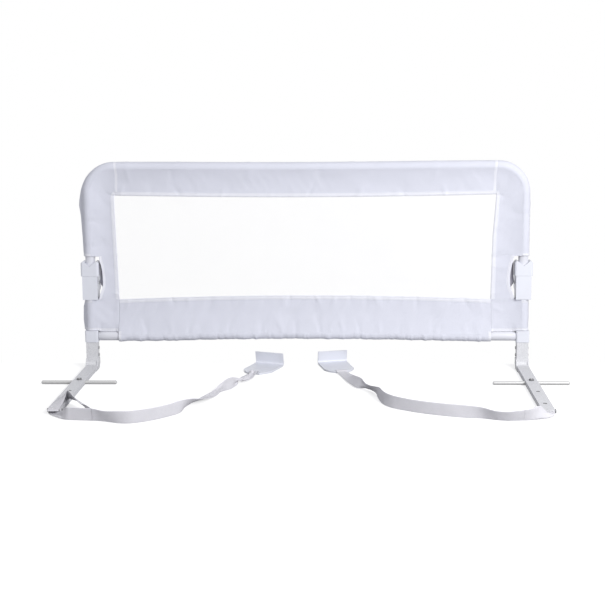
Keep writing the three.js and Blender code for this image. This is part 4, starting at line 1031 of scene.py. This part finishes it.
def make_materials(finish):
    """All finishes of the guard rail by short name; they are built the first time they are asked for."""
    if bpy.data.materials.get(MATERIAL_NAMES["polyester"]):
        return {name: bpy.data.materials[label] for name, label in MATERIAL_NAMES.items()}
    polyester(finish)
    net()
    webbing_cloth(finish)
    hard_finish("white paint", tuple(finish.paint_colour), 0.5, 0.0, 14.0, 620.0, 0.00009)
    hard_finish("arm paint", tuple(finish.arm_colour), 0.55, 0.0, 14.0, 420.0, 0.00012, 0.35)
    # Painted shade: near black on the walls of the arm's holes, where shadow falls inside the channel.
    hard_finish("painted shade in holes", (0.14, 0.14, 0.15), 0.6, 0.0, 14.0, 620.0, 0.00009)
    hard_finish("white plastic", tuple(finish.plastic_colour), 0.4, 0.0, 20.0, 1500.0, 0.00003)
    # Painted shade: the cloth's reverse is darker, standing in for the shade inside the cover.
    hard_finish("painted shade on cloth reverse", (0.42, 0.41, 0.47), 0.85, 0.0, 30.0, 1400.0, 0.0001)
    hard_finish("rivet steel", (0.36, 0.36, 0.37), 0.4, 0.8, 60.0, 900.0, 0.00004)
    hard_finish("zinc steel", tuple(finish.steel_colour), 0.5, 0.3, 60.0, 900.0, 0.00004)
    hard_finish("dark steel", (0.16, 0.16, 0.17), 0.42, 0.8, 60.0, 900.0, 0.00004)
    return make_materials(finish)


# Tubes and fittings

def add_tube(name, node, path, body, sizes, paint):
    """A painted tube in a node's place, along a path in x and z."""
    points, faces = tube_surface(path, sizes.tube_radius, sizes.tube_wall)
    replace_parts(add_piece(name, points, faces, paint, body, "powder_coat"), node)


def build_tubes(sizes, materials):
    """The top tube bent to a U, the bottom rail and both lower posts, from their axes' points."""
    paint = materials["powder_coat"]
    turn = np.linspace(0, math.pi / 2, 17)
    bend_x, bend_z = POST_X - BEND_RADIUS, TOP_Z - BEND_RADIUS
    bend = np.stack([bend_x + BEND_RADIUS * np.cos(turn), bend_z + BEND_RADIUS * np.sin(turn)], 1)
    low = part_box("top_tube")[0][2]
    leg = np.stack([np.full(12, POST_X), np.linspace(low + TUBE_CHAMFER, bend_z - 0.004, 12)], 1)
    half = np.vstack([leg, bend])
    x = np.linspace(-bend_x, bend_x, 25)[1:-1]
    path = np.vstack([half * [-1, 1], np.stack([x, top_height(x, sizes)], 1), half[::-1]])
    add_tube("guard_tube", "top_tube", path, "guard", sizes, paint)
    low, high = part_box("bottom_rail")
    x = np.linspace(low[0] + TUBE_CHAMFER, high[0] - TUBE_CHAMFER, 41)
    add_tube("rail_tube", "bottom_rail", np.stack([x, rail_height(x, sizes)], 1), "base", sizes, paint)
    for side, sign in SIDES:
        low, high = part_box(f"lower_post_{side}")
        z = np.linspace(low[2] + TUBE_CHAMFER, high[2] - TUBE_CHAMFER, 5)
        path = np.stack([np.full(5, sign * POST_X), z], 1)
        add_tube(f"post_tube_{side}", f"lower_post_{side}", path, "base", sizes, paint)


def add_turned(name, node, axis, profile, radius, material, body="base", slot="zinc_steel", flip=False):
    """A turned piece in a node's place: a rounded profile in millimetres, measured along the axis from the
    middle of the node's box."""
    outline = np.array(profile, float) * MM
    if flip:
        outline[:, 1] *= -1
    points, faces = revolve(rounded(outline, radius * MM), middle(node), axis)
    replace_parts(add_piece(name, points, faces, material, body, slot), node)


def build_fasteners(side, sign, materials):
    """Rivets, screws, pins, the cross rod and its bolt, all turned from profiles of radius and place."""
    zinc, dark = materials["zinc_steel"], materials["dark_steel"]
    rivet = [
        (0, -15.1), (2.7, -15.0), (4, -13.2), (2.3, -13.1), (2.2, -12), (2.2, 12), (2.3, 13.1), (4, 13.2),
        (2.7, 15.0), (0, 15.1),
    ]
    for number in (1, 2):
        names = f"rivet_{side}_{number}", f"arm_rivet_{side}_{number}"
        add_turned(*names, "x", rivet, 0.7, materials["rivet"])
    screw = [
        (0, -5.75), (1.9, -5.6), (2, 3.9), (4, 4.0), (3.7, 5.1), (2.2, 5.75), (1.3, 5.75), (1.2, 4.6),
        (0, 4.5),
    ]
    for label, node in (("rail_screw", "connector_screw"), ("socket_screw", "hinge_body_screw")):
        add_turned(f"{label}_{side}", f"{node}_{side}", "y", screw, 0.4, zinc)
    fold_pin = [
        (0, -18.7), (3.2, -18.6), (5, -17.2), (3.1, -17.1), (3, -16), (3, 16), (3.1, 17.1), (5, 17.2),
        (4.9, 17.9), (3.4, 18.6), (0, 18.7),
    ]
    add_turned(f"fold_pin_{side}", f"hinge_pin_{side}", "x", fold_pin, 0.6, zinc, flip=sign < 0)
    plug = [(0, -10.7), (1.8, -10.6), (2, -10.2), (2, 10.2), (1.8, 10.6), (0, 10.7)]
    add_turned(f"tube_pin_{side}", f"knuckle_pin_{side}", "x", plug, 0.3, zinc, "guard")
    tip_pin = [
        (0, -14.3), (2.4, -14.2), (2.9, -13.4), (2.1, -13.1), (2, -12.4), (2, 12.4), (2.1, 13.0), (3.9, 13.1),
        (3.7, 15.6), (0, 16.2),
    ]
    add_turned(
        f"tip_pin_{side}", f"strap_pin_{side}", "x", tip_pin, 0.4, dark, slot="dark_steel", flip=sign < 0)
    rod = [(0, -82), (2.6, -81.8), (4, -79.8), (4, -20), (4, 20), (4, 79.8), (2.6, 81.8), (0, 82)]
    add_turned(f"rod_{side}", f"cross_rod_{side}", "x", rod, 1.4, zinc)
    bolt = [
        (0, -6.15), (2.1, -6.1), (2.2, 2.9), (5.2, 3.0), (5.3, 4.2), (4.5, 6.1), (2.6, 6.15), (2.3, 5.8),
        (2.3, 4.4), (0, 4.3),
    ]
    add_turned(f"bolt_{side}", f"rod_bolt_{side}", "z", bolt, 0.5, dark)
    core = np.array([(0, 4.0), (2.0, 4.1), (2.1, 5.2), (1.6, 6.4), (0, 6.7)]) * MM
    points, faces = revolve(core, middle(f"rod_bolt_{side}"), "z", 24)
    add_piece(f"bolt_core_{side}", points, faces, zinc, "base", "zinc_steel")


def add_plastic(node, name, body, sizes, materials):
    """A moulded piece: the CAD node with its edges rounded."""
    softened(node, name, sizes.plastic_edge, materials["white_plastic"], body, "white_plastic", 3)


def build_hinge(side, sizes, materials):
    """Hinge body, knuckle, lock sleeve and corner connector, with moulded edges."""
    for label, node, body in (
            ("hinge_fork", "hinge_body", "base"), ("hinge_plug", "hinge_knuckle", "guard"),
            ("lock_collar", "lock_sleeve", f"lock_{side}"), ("corner_socket", "corner_connector", "base")):
        add_plastic(f"{node}_{side}", f"{label}_{side}", body, sizes, materials)


def paint_shade_in_holes(arm, sign, material):
    """Gives the walls of the arm's three upright holes their own material, a near black that is painted
    shade: faces near a hole's axis whose normal is level."""
    mesh = arm.data
    mesh.materials.append(material)
    count = len(mesh.polygons)
    places, normals = np.empty(count * 3), np.empty(count * 3)
    mesh.polygons.foreach_get("center", places)
    mesh.polygons.foreach_get("normal", normals)
    places, normals = places.reshape(-1, 3), normals.reshape(-1, 3)
    off = [np.hypot(places[:, 0] - sign * POST_X, places[:, 1] - POST_Y - y * MM) for y in HOLES_Y]
    inside = (np.min(off, axis=0) < HOLE_REACH) & (np.abs(normals[:, 2]) < 0.5)
    mesh.polygons.foreach_set("material_index", inside.astype(np.int32))


# Stage

def add_placed(name, data, axes, place):
    """A camera or lamp in the scene, its local x, y and z along three unit vectors."""
    made = bpy.data.objects.new(name, data)
    bpy.context.scene.collection.objects.link(made)
    turned = Matrix.Identity(4)
    for row in range(3):
        turned[row][0], turned[row][1], turned[row][2] = (axis[row] for axis in axes)
        turned[row][3] = place[row]
    made.matrix_world = turned
    return made


def look_at_photo():
    """The camera at the photograph's viewing angle: from its place, turned by yaw, pitch and roll."""
    yaw, pitch, roll = math.radians(2.04), math.radians(7.85), math.radians(-0.40)
    place = (0.0953, -2.7501 + POST_Y, 0.662)
    photo_width, focal_pixels, shift_pixels = 605, 1245.2, (-1.7, -58.4)
    right = np.array([math.cos(yaw), math.sin(yaw), 0])
    ahead = np.array([-math.sin(yaw), math.cos(yaw), 0])
    up = np.array([0, 0, 1.0])
    forward = math.cos(pitch) * ahead - math.sin(pitch) * up
    above = math.sin(pitch) * ahead + math.cos(pitch) * up
    across = math.cos(roll) * right + math.sin(roll) * above
    above = -math.sin(roll) * right + math.cos(roll) * above
    camera_data = bpy.data.cameras.new("camera")
    camera_data.sensor_width = 36
    camera_data.lens = focal_pixels / photo_width * camera_data.sensor_width
    camera_data.shift_x, camera_data.shift_y = (pixels / photo_width for pixels in shift_pixels)
    camera_data.clip_end = 30
    bpy.context.scene.camera = add_placed("camera", camera_data, (across, above, -forward), place)


def light_the_stage():
    """Even pale light from all round, a large soft lamp at the front right and a weak one at the left."""
    world = bpy.data.worlds.new("studio")
    bpy.context.scene.world = world
    world.use_nodes = True
    tree = world.node_tree
    tree.nodes.clear()
    path = place_node(tree, "ShaderNodeLightPath")
    plain = place_node(tree, "ShaderNodeBackground", {"Color": (1, 1, 1, 1), "Strength": 1.0})
    soft = place_node(tree, "ShaderNodeBackground", {"Color": (0.97, 0.975, 1, 1), "Strength": 0.54})
    seen = math_node(tree, "MAXIMUM", path.outputs["Is Camera Ray"], math_node(
        tree, "MAXIMUM", path.outputs["Is Glossy Ray"], path.outputs["Is Transmission Ray"]))
    choice = place_node(tree, "ShaderNodeMixShader", {0: seen, 1: soft.outputs[0], 2: plain.outputs[0]})
    place_node(tree, "ShaderNodeOutputWorld", {"Surface": choice.outputs[0]})
    target = np.array([0, POST_Y, 0.2])
    lamps = (("key", (1.35, -1.95, 1.25), 1.1, 58.5), ("fill", (-2.0, -0.7, 0.6), 1.0, 2.0))
    for name, place, size, power in lamps:
        lamp = bpy.data.lights.new(name, "AREA")
        lamp.size = size
        lamp.energy = power
        away = np.array(place) - target
        away /= np.linalg.norm(away)
        across = np.cross([0, 0, 1], away)
        across /= np.linalg.norm(across)
        add_placed(name, lamp, (across, np.cross(away, across), away), place)


def build_platform():
    """A pale platform under the arms, with a rounded back edge behind the posts, so that the folded guard
    hangs clear of it: an outline in y and z carried along x."""
    back, front, top, bottom, reach = 0.2245, -6.0, -0.0004, -0.6, 6.0
    outline = rounded([(back, bottom), (back, top), (front, top), (front, bottom)], 0.002)
    points = np.array([[[x, y, z] for y, z in outline] for x in (-reach, reach)]).reshape(-1, 3)
    faces = [grid_faces(2, len(outline))]
    material = bpy.data.materials.new("pale floor")
    material.use_nodes = True
    tree = material.node_tree
    tree.nodes.clear()
    path = place_node(tree, "ShaderNodeLightPath").outputs
    pale = place_node(tree, "ShaderNodeBsdfDiffuse", {"Color": (0.6, 0.6, 0.6, 1)}).outputs[0]
    glow = place_node(tree, "ShaderNodeEmission", {"Color": (1, 1, 1, 1), "Strength": 0.6}).outputs[0]
    shown = place_node(tree, "ShaderNodeAddShader", {0: pale, 1: glow}).outputs[0]
    dim = place_node(tree, "ShaderNodeBsdfDiffuse", {"Color": (0.42, 0.42, 0.43, 1)}).outputs[0]
    under = place_node(tree, "ShaderNodeMixShader", {0: path["Is Glossy Ray"], 1: dim, 2: pale}).outputs[0]
    choice = place_node(tree, "ShaderNodeMixShader", {0: path["Is Camera Ray"], 1: under, 2: shown})
    place_node(tree, "ShaderNodeOutputMaterial", {"Surface": choice.outputs[0]})
    floor = add_piece("platform", points, faces, material, None, "mesh", smooth=False)
    del floor["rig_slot"]


# Settings, operators and panel

def panel_size(name, description, default, unit="LENGTH"):
    """A size that can be set in the panel."""
    return FloatProperty(name=name, description=description, default=default, unit=unit)


def panel_colour(name, description, default):
    """A colour that can be set in the panel."""
    return FloatVectorProperty(name=name, description=description, default=default, subtype="COLOR")


class RailSizes(bpy.types.PropertyGroup):
    """Sizes of the cloth, the webbing and the edges."""

    sleeve_radius: panel_size("Sleeve radius", "Outer radius of the cloth round a tube", 0.0128)
    hem_half: panel_size("Hem half thickness", "Half the thickness of the sewn hem", 0.0013)
    hem_width: panel_size("Binding width", "Width of the binding round the window", 0.008)
    hem_arch: panel_size("Hem arch", "Rise of the window's lower hem in the middle", 0.0088)
    cloth_thickness: panel_size("Cloth thickness", "Thickness of one layer of cloth", 0.0008)
    wrinkle: panel_size("Folds", "Height of the cloth's soft folds", 0.0010)
    pucker: panel_size("Pinches", "Size of the puckers along a hem", 0.0019)
    drape: panel_size("Drapes", "Height of the folds that rise from a tube", 0.0014)
    gather: panel_size("Gathers", "Depth of the gathers under the bottom rail", 0.0018)
    sleeve_slope: panel_size(
        "Sleeve slope", "Slope at which the cloth leaves a tube", 0.38, unit="ROTATION")
    rail_bow: panel_size("Rail bow", "How far the cover bows the bottom rail up", 0.0062)
    top_bow: panel_size("Top tube bow", "How far the cover bows the top tube down", 0.0022)
    top_sag: panel_size("Top hem sag", "How far the window's upper hem hangs in the middle", 0.005)
    webbing_thickness: panel_size("Webbing thickness", "Thickness of the strap", 0.0014)
    tube_radius: panel_size("Tube radius", "Outer radius of the frame's tubes", TUBE_RADIUS)
    tube_wall: panel_size("Tube wall", "Wall thickness of the tubes", 0.0012)
    plastic_edge: panel_size("Plastic edge", "Width of the rounded edges of moulded pieces", 0.0009)
    steel_edge: panel_size("Steel edge", "Width of the rounded edges of pressed steel", 0.0004)


class RailFinishes(bpy.types.PropertyGroup):
    """Colours of the finishes."""

    cloth_colour: panel_colour("Cloth", "Colour of the cover", (0.70, 0.712, 0.80))
    # Colour of the binding, also used for the painted highlight along the turned edges and seams.
    binding_and_highlight_colour: panel_colour("Binding", "Colour of the window's binding", (0.86, 0.865, 0.93))
    plastic_colour: panel_colour("Plastic", "Colour of the hinges and anchors", (0.715, 0.73, 0.795))
    paint_colour: panel_colour("Paint", "Colour of the tubes", (0.68, 0.685, 0.74))
    arm_colour: panel_colour("Arm paint", "Colour of the arms", (0.68, 0.685, 0.73))
    webbing_colour: panel_colour("Webbing", "Colour of the straps", (0.765, 0.757, 0.805))
    steel_colour: panel_colour("Steel", "Colour of rods, pins and screws", (0.57, 0.57, 0.57))


def settings(context):
    """The scene's sizes and its materials."""
    return context.scene.rail_sizes, make_materials(context.scene.rail_finishes)


class RAIL_OT_stage(bpy.types.Operator):
    """Add the camera, the soft light and the pale platform"""

    bl_idname = "rail.stage"
    bl_label = "Stage"

    def execute(self, context):
        context.scene.view_settings.view_transform = "Standard"
        look_at_photo()
        light_the_stage()
        build_platform()
        return {"FINISHED"}


class RAIL_OT_straps(bpy.types.Operator):
    """Add both anchors and both webbing straps"""

    bl_idname = "rail.straps"
    bl_label = "Straps and Anchors"

    def execute(self, context):
        sizes, materials = settings(context)
        for side, _ in SIDES:
            add_plastic(f"anchor_plate_{side}", f"anchor_{side}", "base", sizes, materials)
            build_straps(side, sizes, materials["webbing"])
        return {"FINISHED"}


class RAIL_OT_tubes(bpy.types.Operator):
    """Add the top tube, the bottom rail and the lower posts"""

    bl_idname = "rail.tubes"
    bl_label = "Tubes"

    def execute(self, context):
        build_tubes(*settings(context))
        return {"FINISHED"}


class RAIL_OT_cover(bpy.types.Operator):
    """Add the cloth cover: top band, bottom band and both sides"""

    bl_idname = "rail.cover"
    bl_label = "Cloth Cover"

    def execute(self, context):
        sizes, materials = settings(context)
        build_top_band(sizes, materials)
        build_bottom_band(sizes, materials)
        for side, sign in SIDES:
            build_side_band(side, sign, sizes, materials)
        return {"FINISHED"}


class RAIL_OT_window(bpy.types.Operator):
    """Add the window's net"""

    bl_idname = "rail.window"
    bl_label = "Window Net"

    def execute(self, context):
        _, materials = settings(context)
        build_window(materials["mesh"])
        return {"FINISHED"}


class RAIL_OT_hinges(bpy.types.Operator):
    """Add the hinges, the lock sleeves and the corner connectors"""

    bl_idname = "rail.hinges"
    bl_label = "Hinges and Connectors"

    def execute(self, context):
        sizes, materials = settings(context)
        for side, _ in SIDES:
            build_hinge(side, sizes, materials)
        return {"FINISHED"}


class RAIL_OT_arms(bpy.types.Operator):
    """Add the pressed steel arms"""

    bl_idname = "rail.arms"
    bl_label = "Arms"

    def execute(self, context):
        sizes, materials = settings(context)
        for side, sign in SIDES:
            arm = softened(
                f"arm_{side}", f"arm_channel_{side}", sizes.steel_edge, materials["arm_paint"], "base",
                "powder_coat")
            # The walls of the arm's holes get painted shade.
            paint_shade_in_holes(arm, sign, materials["hole_shade"])
        return {"FINISHED"}


class RAIL_OT_fasteners(bpy.types.Operator):
    """Add rivets, screws, pins, cross rods and bolts"""

    bl_idname = "rail.fasteners"
    bl_label = "Fasteners and Rods"

    def execute(self, context):
        _, materials = settings(context)
        for side, sign in SIDES:
            build_fasteners(side, sign, materials)
        return {"FINISHED"}


class RAIL_PT_panel(bpy.types.Panel):
    """Sidebar panel with the guard rail's pieces and settings"""

    bl_idname = "RAIL_PT_panel"
    bl_label = "Guard Rail"
    bl_space_type = "VIEW_3D"
    bl_region_type = "UI"
    bl_category = "Guard Rail"

    def draw(self, context):
        column = self.layout.column(align=True)
        for operator in OPERATORS:
            column.operator(operator.bl_idname)
        for group in (context.scene.rail_sizes, context.scene.rail_finishes):
            box = self.layout.box()
            for name in group.__annotations__:
                box.prop(group, name)


OPERATORS = (
    RAIL_OT_stage, RAIL_OT_straps, RAIL_OT_tubes, RAIL_OT_cover, RAIL_OT_window, RAIL_OT_hinges, RAIL_OT_arms,
    RAIL_OT_fasteners,
)
CLASSES = (RailSizes, RailFinishes, *OPERATORS, RAIL_PT_panel)


def register():
    for cls in CLASSES:
        bpy.utils.register_class(cls)
    bpy.types.Scene.rail_sizes = PointerProperty(type=RailSizes)
    bpy.types.Scene.rail_finishes = PointerProperty(type=RailFinishes)


def unregister():
    del bpy.types.Scene.rail_finishes
    del bpy.types.Scene.rail_sizes
    for cls in reversed(CLASSES):
        bpy.utils.unregister_class(cls)


def main():
    """Registers the add-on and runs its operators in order."""
    register()
    bpy.ops.rail.stage()
    bpy.ops.rail.straps()
    bpy.ops.rail.tubes()
    bpy.ops.rail.cover()
    bpy.ops.rail.window()
    bpy.ops.rail.hinges()
    bpy.ops.rail.arms()
    bpy.ops.rail.fasteners()


if __name__ == "__main__":
    main()
